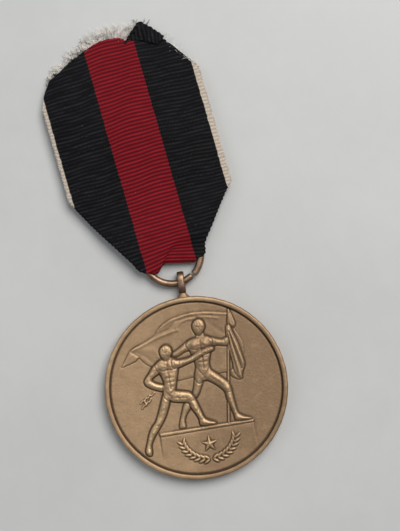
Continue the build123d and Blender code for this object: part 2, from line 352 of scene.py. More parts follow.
def swept_piece(name, centres, sides, ups, half_wide, half_high, power, count, material, body, closed=False):
    """A bar swept along a path: a rounded section laid on each point's side and up directions."""
    turn = np.linspace(0, math.tau, count, endpoint=False)
    wide, high = (np.sign(wave) * np.abs(wave) ** (2 / power) for wave in (np.cos(turn), np.sin(turn)))
    wide = wide * np.broadcast_to(half_wide, len(centres))[:, None]
    high = high * np.broadcast_to(half_high, len(centres))[:, None]
    points = centres[:, None] + sides[:, None] * wide[..., None] + ups[:, None] * high[..., None]
    faces = grid_faces(len(centres), count, close_columns=True, close_rows=closed).tolist()
    if not closed:
        last = (len(centres) - 1) * count
        faces += [list(range(count))[::-1], list(range(last, last + count))]
    return welded(mesh_piece(name, points.reshape(-1, 3), faces, material, body))


def disc_grid(cells, radius):
    """Points of a square grid pressed out to a disc, whose rings are true circles."""
    side = np.linspace(-1, 1, cells + 1)
    a, b = np.meshgrid(side, side)
    a, b = a.ravel(), b.ravel()
    wide = np.abs(a) > np.abs(b)
    reach = np.where(wide, a, b)
    safe = np.where(reach == 0, 1, reach)
    turn = np.where(wide, math.pi / 4 * b / safe, math.pi / 2 - math.pi / 4 * a / safe)
    return reach * np.cos(turn) * radius, reach * np.sin(turn) * radius


def border_loop(cells):
    """The grid's border points in order, anticlockwise."""
    n = cells + 1
    bottom = [k for k in range(cells)]
    right = [cells + k * n for k in range(cells)]
    top = [cells * n + cells - k for k in range(cells)]
    left = [(cells - k) * n for k in range(cells)]
    return bottom + right + top + left


# ------------------------------------------------------------ relief
# Shapes are heights above the field over a grid of places x, y, in millimetres.
# SINK is how steeply a shape falls away past its outline.
SINK = 3.0


def soft_max(first, second, width):
    """The higher of two heights, blended where they are within a width of each other."""
    blend = np.clip(width - np.abs(first - second), 0, None) / width
    return np.maximum(first, second) + blend * blend * width * 0.25


def turned(x, y, centre, turn, size):
    """Places measured from a centre, along and across a direction, as shares of a size."""
    c, s = math.cos(math.radians(turn)), math.sin(math.radians(turn))
    dx, dy = x - centre[0], y - centre[1]
    return (dx * c + dy * s) / size[0], (dy * c - dx * s) / size[1]


def from_line(x, y, start, end):
    """How far along a straight line each place is, from 0 to 1, and its distance from the line."""
    (ax, ay), (bx, by) = start, end
    run = (bx - ax) ** 2 + (by - ay) ** 2
    share = np.clip(((x - ax) * (bx - ax) + (y - ay) * (by - ay)) / run, 0, 1)
    return share, np.hypot(x - ax - share * (bx - ax), y - ay - share * (by - ay))


def limb(x, y, joints, height, lift=0.0):
    """A rounded limb through joints (x, y, radius)."""
    thickest = max(joint[2] for joint in joints)
    result = np.full(x.shape, -9.0)
    for (*start, first), (*end, last) in zip(joints[:-1], joints[1:]):
        share, away = from_line(x, y, start, end)
        radius = first + (last - first) * share
        inside = height * (0.55 + 0.45 * radius / thickest) * np.clip(1 - (away / radius) ** 2, 0, 1) ** 0.5
        result = soft_max(result, np.where(away < radius, lift + inside, lift - SINK * (away - radius)), 0.05)
    return result


def oval(x, y, centre, size, turn=0.0):
    """1 at the centre of an oval, falling smoothly to nothing."""
    a, b = turned(x, y, centre, turn, size)
    return np.exp(-(a * a + b * b))


def drawn(x, y, strokes):
    """Ridges and grooves on a surface: each is (height, width, its points)."""
    total = np.zeros(x.shape)
    for height, width, *points in strokes:
        near = np.min([from_line(x, y, *ends)[1] for ends in zip(points[:-1], points[1:])], axis=0)
        total += height * np.exp(-((near / width) ** 2))
    return total


def inside_shape(x, y, points):
    """Distance to a closed outline, positive inside."""
    near = np.full(x.shape, 99.0)
    inside = np.zeros(x.shape, dtype=bool)
    for (ax, ay), (bx, by) in zip(points, points[1:] + points[:1]):
        near = np.minimum(near, from_line(x, y, (ax, ay), (bx, by))[1])
        if ay != by:
            inside ^= ((ay > y) != (by > y)) & (x < (bx - ax) * (y - ay) / (by - ay) + ax)
    return np.where(inside, near, -near)


def pressed(ground, shape, moat=0.09, reach=0.15, join=0.02):
    """Lays a shape on the ground, with a narrow hollow cut round its outline."""
    outside = np.clip(-shape / SINK, 0, None)
    cut = np.where(shape < 0, np.exp(-((outside / reach) ** 2)), 0.0)
    return soft_max(ground - moat * cut, shape, join)


def laid(x, y, ground, outline, face, moat, reach=0.16, strokes=(), power=1.0):
    """Lays a patch on the ground. Its face (base, rise, slope) rises from its edge, and carries strokes."""
    base, rise, slope = face
    depth = inside_shape(x, y, outline)
    height = base + rise * np.clip(depth / slope, 0, 1) ** power + drawn(x, y, strokes)
    return pressed(ground, np.where(depth > 0, height, SINK * depth), moat, reach)


# The calm, plain face that both heads have: (height, place, size), with places across and up from its middle.
FACE = [
    (0.055, (0.0, -0.12), (0.08, 0.2)), (0.03, (0.0, -0.24), (0.13, 0.07)), (-0.025, (0.0, -0.47),
    (0.2, 0.04)),
    (0.028, (0.0, -0.4), (0.17, 0.04)), (0.03, (0.0, -0.55), (0.14, 0.045)), (0.035, (0.0, -0.78),
    (0.2, 0.12)),
]
for eye in (-0.36, 0.36):
    FACE += [
        (-0.04, (eye, 0.02), (0.15, 0.09)), (0.03, (eye, 0.0), (0.1, 0.05)), (0.028, (eye, 0.17),
        (0.24, 0.06)),
        (0.02, (eye * 1.15, -0.25), (0.18, 0.14)),
    ]


def head(x, y, centre, size, turn, look, lift, height=0.36):
    """A plain head in three-quarter view, with short combed hair. look is how far it faces right."""
    a, b = turned(x, y, centre, turn, size)
    away = np.hypot(a / np.where(b < 0, 1 + 0.2 * b, 1.0), b)
    dome = lift + height * np.clip(1 - away**2, 0, 1) ** 0.5
    shape = np.where(away < 1, dome, lift - SINK * (away - 1) * size[0])
    side = a - look
    hair = 1 / (1 + np.exp(-14 * (b - 0.26 + 0.5 * np.abs(side + 0.1) - 0.25 * (side < -0.55))))
    shape = shape + 0.05 * hair * (away < 1.02)
    shape += 0.012 * hair * np.sin(26 * (a * 0.6 + b * 0.25)) * (away < 1)
    shape += sum(rise * oval(side, b, place, reach) for rise, place, reach in FACE)
    return shape + 0.05 * oval(a, b, (look - 0.95, -0.1), (0.1, 0.2))


def rounded(points, passes=2):
    """The closed outline with its corners cut into smooth curves."""
    line = np.array(points, dtype=float)
    for _ in range(passes):
        after = np.roll(line, -1, axis=0)
        line = np.stack([0.8 * line + 0.2 * after, 0.2 * line + 0.8 * after], axis=1).reshape(-1, 2)
    return [tuple(point) for point in line]


def body_part(x, y, outline, height, lift, roundness=0.85, swells=(), grooves=()):
    """A part of a body, rounded up from its outline, with swells (x, y, half sizes, turn, height)."""
    depth = blurred(inside_shape(x, y, rounded(outline)), x[0, 1] - x[0, 0], 0.07) - 0.015
    share = np.clip(depth / roundness, 0, 1)
    shape = np.where(depth > 0, lift + height * np.sqrt(1 - (1 - share) ** 2), lift + SINK * depth)
    return muscled(x, y, shape, swells, grooves)


def muscled(x, y, shape, swells, grooves):
    """A shape with swells and grooves on it, fading out at its edge."""
    add = drawn(x, y, grooves)
    for px, py, wide, high, turn, rise in swells:
        add += rise * oval(x, y, (px, py), (wide, high), turn)
    return shape + add * np.clip(shape * 9, 0, 1)


def laurel_leaf(x, y, root, turn, length, width, height):
    """One leaf with a groove down its middle."""
    along, across = turned(x, y, root, turn, (length, width))
    across = np.abs(across) * 2
    outline = across - np.clip(4 * along * (1 - along), 0, None) ** 0.75 * 0.95
    outline = np.where((along < 0) | (along > 1), across + 2 * np.abs(along - 0.5), outline)
    face = height * np.clip(-outline, 0, 1) ** 0.5 * (0.7 + 0.5 * np.clip(across, 0, 1))
    return np.where(outline < 0, face, -SINK * outline * width * 0.5)


FLAG = [
    (-12.75, 5.55), (-10.95, 8.2), (-10.0, 8.75), (-8.0, 9.5), (-6.2, 10.3), (-5.5, 11.3), (-4.4, 12.2),
    (-3.0, 12.9), (-1.0, 13.35), (1.0, 13.6), (3.2, 13.45), (5.2, 13.1), (7.5, 12.6), (7.0, 9.0), (6.1, 2.1),
    (-0.3, 2.05), (-2.9, 1.75), (-7.2, 4.75), (-8.3, 5.5), (-9.5, 6.9), (-10.2, 6.3), (-12.0, 5.75),
]
BEARER_TRUNK = [
    (1.05, 9.0), (2.9, 9.15), (3.6, 8.85), (4.1, 8.1), (3.8, 7.1), (3.6, 6.3), (3.2, 5.2), (2.92, 4.1),
    (3.0, 3.1), (3.4, 2.4), (2.6, 1.0), (1.5, 1.1), (0.6, 0.6), (-0.1, 1.6), (0.1, 2.7), (0.42, 3.7),
    (0.36, 4.7), (0.0, 5.9), (-0.35, 6.9), (-0.9, 7.9), (-0.3, 8.7),
]
BEARER_FRONT_LEG = [
    (2.4, 3.1), (3.2, 2.8), (4.1, 2.0), (5.1, 1.05), (5.98, 0.05), (6.28, -0.8), (6.38, -2.2), (6.6, -4.1),
    (6.85, -5.55), (7.8, -6.15), (8.9, -6.55), (9.3, -6.95), (6.1, -6.95), (6.0, -5.7), (5.62, -4.3),
    (5.15, -2.8), (5.05, -1.5), (4.4, -0.65), (3.3, 0.35), (2.2, 1.05), (1.5, 1.3), (1.5, 2.4),
]
BEARER_BACK_THIGH = [
    (0.1, 2.9), (1.6, 2.9), (1.5, 1.15), (1.05, 0.3), (0.5, -0.9), (-0.2, -1.9), (-1.3, -1.8), (-0.85, -0.9),
    (-0.45, 0.2), (-0.2, 1.2),
]
BEARER_BACK_SHIN = [
    (-1.3, -2.3), (-0.9, -3.0), (-1.7, -3.75), (-2.4, -4.5), (-2.9, -5.5), (-2.75, -6.95), (-4.15, -6.95),
    (-3.85, -5.7), (-3.25, -4.1), (-2.75, -2.7), (-2.2, -2.1),
]
BEARER_RIGHT_ARM = [
    (0.6, 8.85), (-0.4, 8.65), (-1.6, 7.85), (-2.9, 7.1), (-3.5, 6.85), (-3.65, 6.2), (-3.0, 5.95),
    (-2.2, 6.15), (-1.2, 6.7), (-0.2, 6.8), (0.8, 7.0),
]
BEARER_LEFT_ARM = [
    (2.9, 8.95), (3.7, 8.8), (4.8, 8.32), (5.9, 8.0), (6.4, 8.35), (6.95, 8.1), (7.0, 7.2), (6.6, 6.7),
    (5.7, 6.85), (4.7, 7.1), (3.9, 6.9), (2.9, 7.3),
]
COMPANION_TRUNK = [
    (-5.15, 6.0), (-3.8, 6.05), (-3.0, 5.75), (-2.5, 5.0), (-2.75, 4.1), (-3.0, 3.0), (-3.3, 2.0),
    (-3.6, 1.0), (-3.8, 0.1), (-4.0, -1.2), (-4.9, -1.75), (-5.9, -1.0), (-6.1, -0.2), (-5.9, 0.6),
    (-5.6, 1.8), (-6.0, 3.1), (-6.6, 4.2), (-6.9, 5.0), (-6.3, 5.6), (-5.7, 5.95),
]
COMPANION_RIGHT_ARM = [
    (-5.9, 5.7), (-6.7, 5.3), (-7.3, 4.85), (-8.1, 3.75), (-8.95, 2.85), (-9.2, 2.3), (-8.95, 1.6),
    (-8.0, 0.95), (-7.0, 0.5), (-6.1, 0.15), (-5.5, 0.4), (-5.5, 1.3), (-6.4, 1.55), (-7.3, 1.95),
    (-7.9, 2.5), (-7.15, 3.1), (-6.3, 3.4), (-5.6, 4.4),
]
COMPANION_LEFT_ARM = [
    (-3.7, 5.85), (-2.6, 5.4), (-0.6, 5.55), (0.9, 6.3), (2.4, 6.8), (3.6, 7.1), (4.15, 6.85), (4.1, 6.3),
    (3.2, 6.0), (2.0, 5.7), (0.5, 4.95), (-1.0, 4.55), (-2.7, 4.0), (-3.7, 4.2),
]
COMPANION_FRONT_LEG = [
    (-4.5, 0.4), (-3.6, 0.0), (-2.4, -0.25), (-1.3, -0.55), (-0.7, -1.2), (-0.3, -2.4), (0.2, -4.0),
    (0.7, -5.6), (1.5, -6.1), (2.6, -6.55), (2.8, -6.95), (-0.3, -6.95), (-0.25, -5.8), (-0.75, -4.6),
    (-1.5, -3.4), (-1.6, -2.65), (-2.0, -2.35), (-3.5, -2.15), (-4.8, -1.85), (-5.3, -0.9),
]
COMPANION_BACK_LEG = [
    (-5.6, 0.4), (-6.15, -0.4), (-6.65, -1.6), (-7.35, -3.4), (-8.05, -5.0), (-8.9, -5.85), (-9.6, -7.0),
    (-10.15, -8.6), (-10.75, -10.2), (-10.4, -10.85), (-9.7, -11.1), (-9.5, -10.4), (-9.55, -9.2),
    (-8.9, -7.95), (-7.9, -6.7), (-7.0, -5.55), (-6.1, -4.2), (-5.4, -2.6), (-4.9, -1.3), (-4.7, 0.0),
]
FLAG_FOLDS = [
    (0.1, 0.3, (-10.6, 8.25), (-8.0, 9.1), (-5.9, 9.95), (-3.0, 10.6), (-2.0, 10.75)),
    (0.07, 0.24, (-2.0, 11.2), (-1.2, 12.1), (0.0, 12.45), (1.3, 12.35)),
    (0.06, 0.2, (-4.9, 11.6), (-2.6, 12.75), (0.8, 13.35), (3.0, 13.2), (7.2, 12.4)),
    (0.05, 0.24, (0.6, 13.1), (3.0, 12.6), (5.6, 11.9)),
    (-0.06, 0.2, (-6.0, 10.4), (-3.4, 11.2), (-2.2, 12.4), (0.6, 12.9), (4.6, 12.6)),
    (0.04, 0.6, (-8.9, 8.2), (-6.6, 7.7), (-5.9, 6.6)),
    (-0.04, 0.35, (-10.1, 7.9), (-8.4, 6.9), (-7.0, 5.4)),
    (0.03, 0.4, (-2.6, 9.9), (-3.3, 8.6), (-3.0, 7.4)),
    (-0.03, 0.4, (3.6, 11.7), (5.0, 10.2), (6.2, 9.2)),
]
FLAG_TIP = [(-12.75, 5.55), (-10.95, 8.2), (-9.5, 6.9), (-10.2, 6.3), (-12.0, 5.75)]
POLE = [(7.65, 13.2, 0.17), (4.9, -6.9, 0.2)]
# The cloth on the pole, as laid() takes it: outline, face, moat, reach, strokes and power.
HANGING_CLOTH = [
    ([(7.72, 13.75), (8.15, 12.2), (8.65, 10.5), (8.3, 9.8), (7.3, 10.3), (7.1, 10.9), (7.45, 12.2)],
     (0.1, 0.14, 0.4), 0.08, 0.16, [(-0.07, 0.12, (7.85, 12.6), (8.05, 10.6))]),
    ([(8.0, 9.9), (8.9, 8.3), (9.45, 6.8), (9.3, 4.6), (8.4, 6.4)], (0.07, 0, 1), 0.04),
    ([(6.5, 2.2), (6.55, 1.2), (7.5, 0.55), (8.4, 0.35), (8.3, 1.2),
      (7.2, 2.6)], (0.08, 0.08, 0.3), 0.07, 0.15),
    ([(6.75, 10.35), (6.6, 8.5), (6.72, 6.5), (7.1, 4.0), (7.15, 2.0), (7.7, 0.95), (8.45, 0.45), (8.6, 1.6),
      (9.15, 2.6), (9.3, 3.4), (9.0, 5.0), (8.6, 7.0), (8.0, 8.8), (7.5, 10.5)],
     (0.12, 0.16, 0.5), 0.1, 0.17,
     [(0.09, 0.22, (7.1, 9.6), (7.35, 7.0), (7.8, 4.0), (8.2, 1.2)),
      (0.09, 0.16, (7.35, 9.6), (8.05, 7.2), (8.6, 5.0), (9.05, 3.2)),
      (-0.13, 0.14, (7.25, 9.2), (7.75, 6.6), (8.25, 4.2), (8.6, 2.4)),
      (-0.08, 0.13, (6.95, 8.6), (7.05, 6.4), (7.5, 3.4), (7.7, 1.6))], 0.5),
]
PLINTH_TOP = [(-7.75, -7.25), (9.45, -6.92), (9.4, -7.45), (-7.65, -7.85)]
CHAIN = [
    [(-7.7, 0.15), (-8.2, -0.25), (-8.55, -0.15), (-8.9, -0.6), (-9.3, -0.55), (-9.55, -1.0), (-9.95, -1.0),
     (-10.35, -1.4)],
    [(-8.45, -0.85), (-8.7, -1.3), (-9.1, -1.35), (-9.35, -1.8), (-9.8, -1.85), (-10.15, -2.3)],
    [(-9.6, -1.0), (-9.35, -1.75)],
]
# An athlete's limbs are (moat, (outline, share of the figure's height, lift, roundness, swells, grooves)).
BEARER = {
    "behind": [
        (0.11, (BEARER_BACK_SHIN, 0.7, 0.02, 0.6, [(-2.3, -3.4, 0.4, 0.7, -30, 0.05)])),
        (0.12, (BEARER_BACK_THIGH, 0.85, 0.03, 0.85, [(0.75, 1.6, 0.35, 1.4, -15, 0.05)],
                [(-0.03, 0.13, (0.3, 2.2), (-0.1, 0.3))])),
        (0.1, (BEARER_RIGHT_ARM, 0.8, 0.04, 0.7, [(-0.3, 7.9, 0.6, 0.45, 30, 0.08),
        (-1.6, 7.1, 0.6, 0.3, 30, 0.04)],
               [(-0.04, 0.12, (-1.0, 7.6), (-0.9, 6.9))])),
        (0.1, (BEARER_LEFT_ARM, 0.78, 0.05, 0.7, [(3.7, 8.1, 0.6, 0.5, -15, 0.08),
        (5.0, 7.7, 0.6, 0.25, -12, 0.04)],
               [(-0.04, 0.12, (4.5, 8.2), (4.4, 7.4)), (-0.05, 0.1, (6.2, 8.0), (6.25, 7.1)),
                (-0.05, 0.07, (6.45, 7.9), (6.95, 7.85)), (-0.05, 0.07, (6.45, 7.55), (7.0, 7.5)),
                (-0.05, 0.07, (6.45, 7.2), (6.95, 7.15))])),
    ],
    "neck": ([(1.95, 9.9, 0.66), (1.95, 8.4, 0.9)], 0.04),
    "trunk": (BEARER_TRUNK, 1, 0.05, 1.15),
    "leg": (BEARER_FRONT_LEG, 1, 0.05, 0.95,
            [(3.7, 1.5, 1.5, 0.4, -42, 0.07), (5.65, -0.7, 0.4, 0.5, 20, 0.06),
             (5.75, -2.6, 0.33, 0.9, 8, 0.05),
             (7.6, -6.5, 0.9, 0.2, -15, 0.05)],
            [(-0.04, 0.14, (3.0, 1.5), (4.9, -0.2)), (-0.04, 0.12, (5.3, -1.6), (6.1, -1.5)),
             (-0.03, 0.12, (6.15, -5.6), (6.75, -5.8))]),
    "swells": [
        (0.85, 7.75, 0.85, 0.6, 12, 0.1), (2.75, 7.75, 0.8, 0.6, -12, 0.1), (1.3, 5.7, 0.4, 0.3, 0, 0.05),
        (2.35, 5.75, 0.4, 0.3, 0, 0.05), (1.35, 4.9, 0.38, 0.28, 0, 0.05), (2.3, 4.9, 0.38, 0.28, 0, 0.05),
        (1.35, 4.1, 0.36, 0.28, 0, 0.045), (2.2, 4.1, 0.36, 0.28, 0, 0.045), (0.6, 5.2, 0.22, 0.6, 10, 0.05),
        (3.0, 5.3, 0.22, 0.6, -8, 0.05), (1.5, 3.0, 0.45, 0.5, 0, 0.04), (2.15, 3.0, 0.45, 0.5, 0, 0.04),
    ],
    "grooves": [
        (-0.08, 0.11, (1.8, 8.4), (1.85, 6.6), (1.85, 3.3)), (-0.08, 0.13, (0.0, 7.05), (0.9, 6.75),
        (1.75, 6.95)),
        (-0.08, 0.13, (3.55, 7.0), (2.7, 6.75), (1.95, 6.95)), (-0.04, 0.09, (1.0, 5.3), (2.7, 5.3)),
        (-0.04, 0.09, (1.05, 4.5), (2.6, 4.5)), (-0.06, 0.14, (0.5, 3.6), (1.2, 2.6), (1.75, 1.6)),
        (-0.06, 0.14, (2.95, 3.5), (2.4, 2.6), (1.8, 1.6)), (-0.05, 0.12, (1.1, 8.95), (1.9, 8.65),
        (2.9, 9.0)),
    ],
    "before": [],
    "head": ((1.9, 10.8), (1.16, 1.45), -8, 0.3, 0.1),
}
COMPANION = {
    "behind": [
        (0.12, (COMPANION_RIGHT_ARM, 0.85, 0.05, 0.7,
                [(-6.7, 4.7, 0.6, 0.5, 40, 0.08), (-7.9, 3.2, 0.3, 0.6, -38, 0.04),
                 (-7.4, 1.35, 0.8, 0.22, -28, 0.04)],
                [(-0.04, 0.12, (-7.0, 4.2), (-7.9, 3.9)), (-0.05, 0.1, (-6.1, 1.2), (-5.9, 0.4))])),
        (0.13, (COMPANION_BACK_LEG, 1, 0.05, 0.9,
                [(-6.2, -2.4, 0.35, 1.4, -22, 0.07), (-7.6, -5.2, 0.45, 0.45, 0, 0.06),
                 (-8.7, -6.9, 0.3, 0.9, -38, 0.06), (-10.1, -10.4, 0.3, 0.4, 0, 0.05)],
                [(-0.04, 0.13, (-6.8, -2.0), (-7.4, -4.2)), (-0.04, 0.12, (-7.4, -5.9), (-8.4, -5.7)),
                 (-0.03, 0.1, (-10.2, -9.6), (-9.6, -9.7))])),
    ],
    "neck": ([(-4.5, 6.6, 0.62), (-4.5, 5.4, 0.85)], 0.08),
    "trunk": (COMPANION_TRUNK, 1.05, 0.08, 1.15),
    "leg": (COMPANION_FRONT_LEG, 1, 0.09, 0.95,
            [(-2.7, -0.8, 1.3, 0.35, -8, 0.07), (-1.0, -1.5, 0.45, 0.45, 0, 0.06),
             (-0.75, -3.1, 0.3, 0.9, 15, 0.05),
             (1.4, -6.5, 0.8, 0.18, -12, 0.05)],
            [(-0.04, 0.13, (-4.2, -1.2), (-2.0, -1.5)), (-0.04, 0.12, (-1.4, -2.2), (-0.5, -2.1)),
             (-0.03, 0.1, (-0.1, -5.7), (0.6, -5.8))]),
    "swells": [
        (-5.6, 4.75, 0.75, 0.6, 22, 0.1), (-3.9, 4.7, 0.7, 0.6, -10, 0.1), (-5.1, 2.9, 0.38, 0.28, 0, 0.05),
        (-4.1, 2.9, 0.38, 0.28, 0, 0.05), (-5.0, 2.1, 0.36, 0.28, 0, 0.05),
        (-4.15, 2.1, 0.36, 0.28, 0, 0.05),
        (-4.95, 1.3, 0.34, 0.28, 0, 0.045), (-4.2, 1.3, 0.34, 0.28, 0, 0.045),
        (-5.6, 2.4, 0.2, 0.6, 10, 0.05),
        (-3.5, 2.6, 0.2, 0.6, -8, 0.05), (-4.6, 0.3, 0.5, 0.5, 0, 0.05),
    ],
    "grooves": [
        (-0.08, 0.11, (-4.6, 5.4), (-4.7, 3.8), (-4.55, 0.5)), (-0.08, 0.13, (-6.2, 4.2), (-5.5, 3.8),
        (-4.75, 4.0)),
        (-0.08, 0.13, (-3.1, 4.1), (-3.9, 3.8), (-4.65, 4.0)), (-0.04, 0.09, (-5.4, 2.5), (-3.7, 2.5)),
        (-0.04, 0.09, (-5.3, 1.7), (-3.8, 1.7)), (-0.06, 0.14, (-5.8, 0.6), (-5.1, -0.5), (-4.7, -1.2)),
        (-0.06, 0.14, (-3.8, 0.4), (-4.2, -0.5), (-4.6, -1.2)), (-0.05, 0.12, (-5.4, 5.9), (-4.6, 5.6),
        (-3.8, 5.9)),
    ],
    "before": [
        (0.12, (COMPANION_LEFT_ARM, 0.8, 0.17, 0.7,
                [(-3.2, 4.9, 0.55, 0.55, 0, 0.07), (-1.4, 5.0, 0.8, 0.28, 4, 0.05),
                 (1.3, 5.8, 0.8, 0.24, 26, 0.04)],
                [(-0.04, 0.12, (-2.4, 5.3), (-2.5, 4.4)), (-0.04, 0.12, (0.1, 5.6), (0.3, 5.1)),
                 (-0.05, 0.08, (3.2, 6.9), (3.3, 6.2)), (-0.05, 0.06, (3.5, 6.85), (4.0, 6.8)),
                 (-0.05, 0.06, (3.5, 6.5), (4.05, 6.5))])),
    ],
    "head": ((-4.6, 7.1), (1.12, 1.3), -18, 0.26, 0.12),
}


def plinth_height(x, y, ground):
    """The plinth under the athletes: a bright top edge, and a front that fades into the field."""
    fade = np.clip((y + 12.0) / 3.6, 0, 1)
    sides = np.clip(np.minimum(x + 7.7, 9.4 - x) / 0.12, 0, 1) * np.clip((-7.05 - y) / 0.1, 0, 1)
    grooves = [(-0.09, 0.15, (-7.85, -7.4), (-7.85, -12.0)), (-0.06, 0.15, (9.55, -7.2), (9.55, -12.0))]
    ground = ground + fade * (0.11 * sides + drawn(x, y, grooves))
    return laid(x, y, ground, PLINTH_TOP, (0.16, 0.06, 0.15), 0.07)


def chain_height(x, y, ground):
    """The short broken chain at the companion's wrist: strands of small links."""
    for strand in CHAIN:
        links = [0.2 * oval(x, y, link, (0.17, 0.13), 40) for link in strand]
        bar = np.max([drawn(x, y, [(0.17, 0.13, *strand)]), *links], axis=0) - 0.05
        ground = pressed(ground, np.where(bar > 0, bar, SINK * bar), 0.05, 0.1, 0.01)
    return ground


def athlete_height(x, y, ground, tall, figure):
    """An athlete, from the limbs behind to the trunk, the limbs before it and the head."""

    def part(outline, share, *rest):
        """One part of this athlete's body."""
        return body_part(x, y, outline, tall * share, *rest)

    for moat, shape in figure["behind"]:
        ground = pressed(ground, part(*shape), moat)
    joints, lift = figure["neck"]
    body = soft_max(part(*figure["trunk"]), limb(x, y, joints, tall * 0.62, lift), 0.1)
    body = soft_max(body, part(*figure["leg"]), 0.08)
    ground = pressed(ground, muscled(x, y, body, figure["swells"], figure["grooves"]), 0.14)
    for moat, shape in figure["before"]:
        ground = pressed(ground, part(*shape), moat, 0.18, 0.05)
    return pressed(ground, head(x, y, *figure["head"]), 0.13)


def obverse_height(x, y, settings):
    """Height of the front above its field: flag, plinth, pole, two athletes, star and laurel."""
    ground = laid(x, y, np.zeros(x.shape), FLAG, (0.07, 0.04, 0.5), 0.06, 0.2, FLAG_FOLDS)
    crease = [(-0.06, 0.3, (-12.1, 6.0), (-10.6, 7.0))]
    ground = laid(x, y, ground, FLAG_TIP, (0.1, 0.08, 0.6), 0.07, 0.16, crease)
    ground = plinth_height(x, y, ground)
    ground = pressed(ground, limb(x, y, POLE, 0.16, 0.06), 0.08)
    for outline, *rest in HANGING_CLOTH:
        ground = laid(x, y, ground, rounded(outline, 1), *rest)
    ground = athlete_height(x, y, ground, settings.figure_relief, BEARER)
    ground = chain_height(x, y, ground)
    ground = athlete_height(x, y, ground, settings.figure_relief, COMPANION)
    ground = pressed(ground, star(x, y, settings.star_centre, settings.star_radius, 0.3), 0.09, 0.2)
    for side in (-1, 1):
        ground = pressed(ground, spray(x, y, side, settings), 0.06, 0.14)
    return ground


def star(x, y, centre, radius, height):
    """A faceted star with five points."""
    turn = np.arctan2(y - centre[1], x - centre[0]) - math.pi / 2
    away = np.hypot(x - centre[0], y - centre[1])
    fold = np.abs((turn + math.pi / 5) % (math.tau / 5) - math.pi / 5)
    edge = radius * math.sin(math.radians(18)) / np.sin(math.radians(18) + fold)
    edge = np.where(fold < 0.001, radius, edge)
    return np.where(away < edge, height * (1 - 0.75 * away / edge), -SINK * (away - edge))


def spray(x, y, side, settings):
    """A laurel spray curving out and up from beneath the star."""
    foot_x, foot_y = settings.star_centre[0], settings.star_centre[1] - 2.75
    reach, rise = side * settings.spray_reach, settings.spray_rise
    shape = np.full(x.shape, -9.0)
    pairs = 8
    for k in range(pairs):
        turn = math.radians(80 * (k + 0.3) / pairs)
        root = foot_x + reach * math.sin(turn), foot_y + rise * (1 - math.cos(turn))
        along = math.degrees(math.atan2(rise * math.sin(turn), reach * math.cos(turn)))
        for lean in (-34, 34):
            shape = np.maximum(shape, laurel_leaf(x, y, root, along + lean, 1.35, 0.52, 0.2))
    return shape


def reverse_height(x, y, settings):
    """Height of the back above its field: a plain tablet inside two laurel branches."""
    away = np.hypot(x, y) - settings.tablet_radius
    ground = soft_max(np.zeros(x.shape), np.where(away < 0, 0.22, -SINK * away), 0.05)
    ground += 0.03 * np.exp(-(((away + 0.5) / 0.12) ** 2))
    branch = 11.3
    for side in (-1, 1):
        for k in range(17):
            place = side * (8 + 150 * k / 16)
            root = branch * math.sin(math.radians(place)), -branch * math.cos(math.radians(place))
            for lean in (-26, 26):
                heading = place + (0 if side > 0 else 180) + lean
                ground = pressed(ground, laurel_leaf(x, y, root, heading, 2.5, 0.95, 0.17), 0.02, 0.14)
    return ground


def blurred(height, spacing, width):
    """The height map smoothed over a width."""
    reach = int(3 * width / spacing)
    kernel = np.exp(-((np.arange(-reach, reach + 1) * spacing / width) ** 2) / 2)
    kernel /= kernel.sum()
    padded = np.pad(height, reach, mode="edge")
    for axis in (0, 1):
        padded = np.apply_along_axis(np.convolve, axis, padded, kernel, mode="same")
    return padded[reach:-reach, reach:-reach]


def relief_at(shape, settings, x, y, radius, spacing):
    """One side's height, with its hollow and worn shares, at any places inside a radius."""
    line = np.linspace(-radius, radius, int(2 * radius / spacing) + 1)
    spacing = line[1] - line[0]
    height = blurred(shape(*np.meshgrid(line, line), settings), spacing, 0.045)
    rng = np.random.default_rng(4)
    uneven = blurred(rng.normal(0, 1, height.shape), spacing, 0.16)
    fine = blurred(rng.normal(0, 1, height.shape), spacing, 0.07)
    raised = np.clip((height - 0.2) / 0.15, 0, 1)
    height = height + uneven / uneven.std() * (0.0018 + 0.014 * raised) + fine / fine.std() * 0.0022
    near, wide = height - blurred(height, spacing, 0.15), height - blurred(height, spacing, 0.6)
    hollow = np.clip(-near / 0.05, 0, 1) * 0.85 + np.clip((-wide - 0.03) / 0.16, 0, 1) * 0.3
    worn = np.clip(near / 0.05, 0, 1) * 0.5 + np.clip(wide / 0.16, 0, 1) * 0.7
    return [sampled(line, values, x, y) for values in (height, hollow, worn)]


def sampled(line, values, x, y):
    """Values of a square map at any places, by straight interpolation."""
    step = line[1] - line[0]
    a, b = (np.clip((place - line[0]) / step, 0, len(line) - 1.001) for place in (x, y))
    i, j = a.astype(int), b.astype(int)
    fa, fb = a - i, b - j
    top = values[j, i] * (1 - fa) + values[j, i + 1] * fa
    low = values[j + 1, i] * (1 - fa) + values[j + 1, i + 1] * fa
    return top * (1 - fb) + low * fb


# ------------------------------------------------------------ settings
def length(name, description, default, low=0.0):
    """A setting in millimetres."""
    return FloatProperty(name=name, description=description + ", in mm", default=default, min=low)


def place(name, description, default):
    """A setting that holds a place on the table, in millimetres."""
    return FloatVectorProperty(name=name, description=description + ", in mm", size=2, default=default)


def degrees(name, description, default):
    """A setting that holds a direction, in degrees."""
    return FloatProperty(name=name, description=description + ", in degrees", default=default)


def tint(name, description, default):
    """A setting that holds a colour."""
    return FloatVectorProperty(name=name, description=description, subtype="COLOR", default=default)


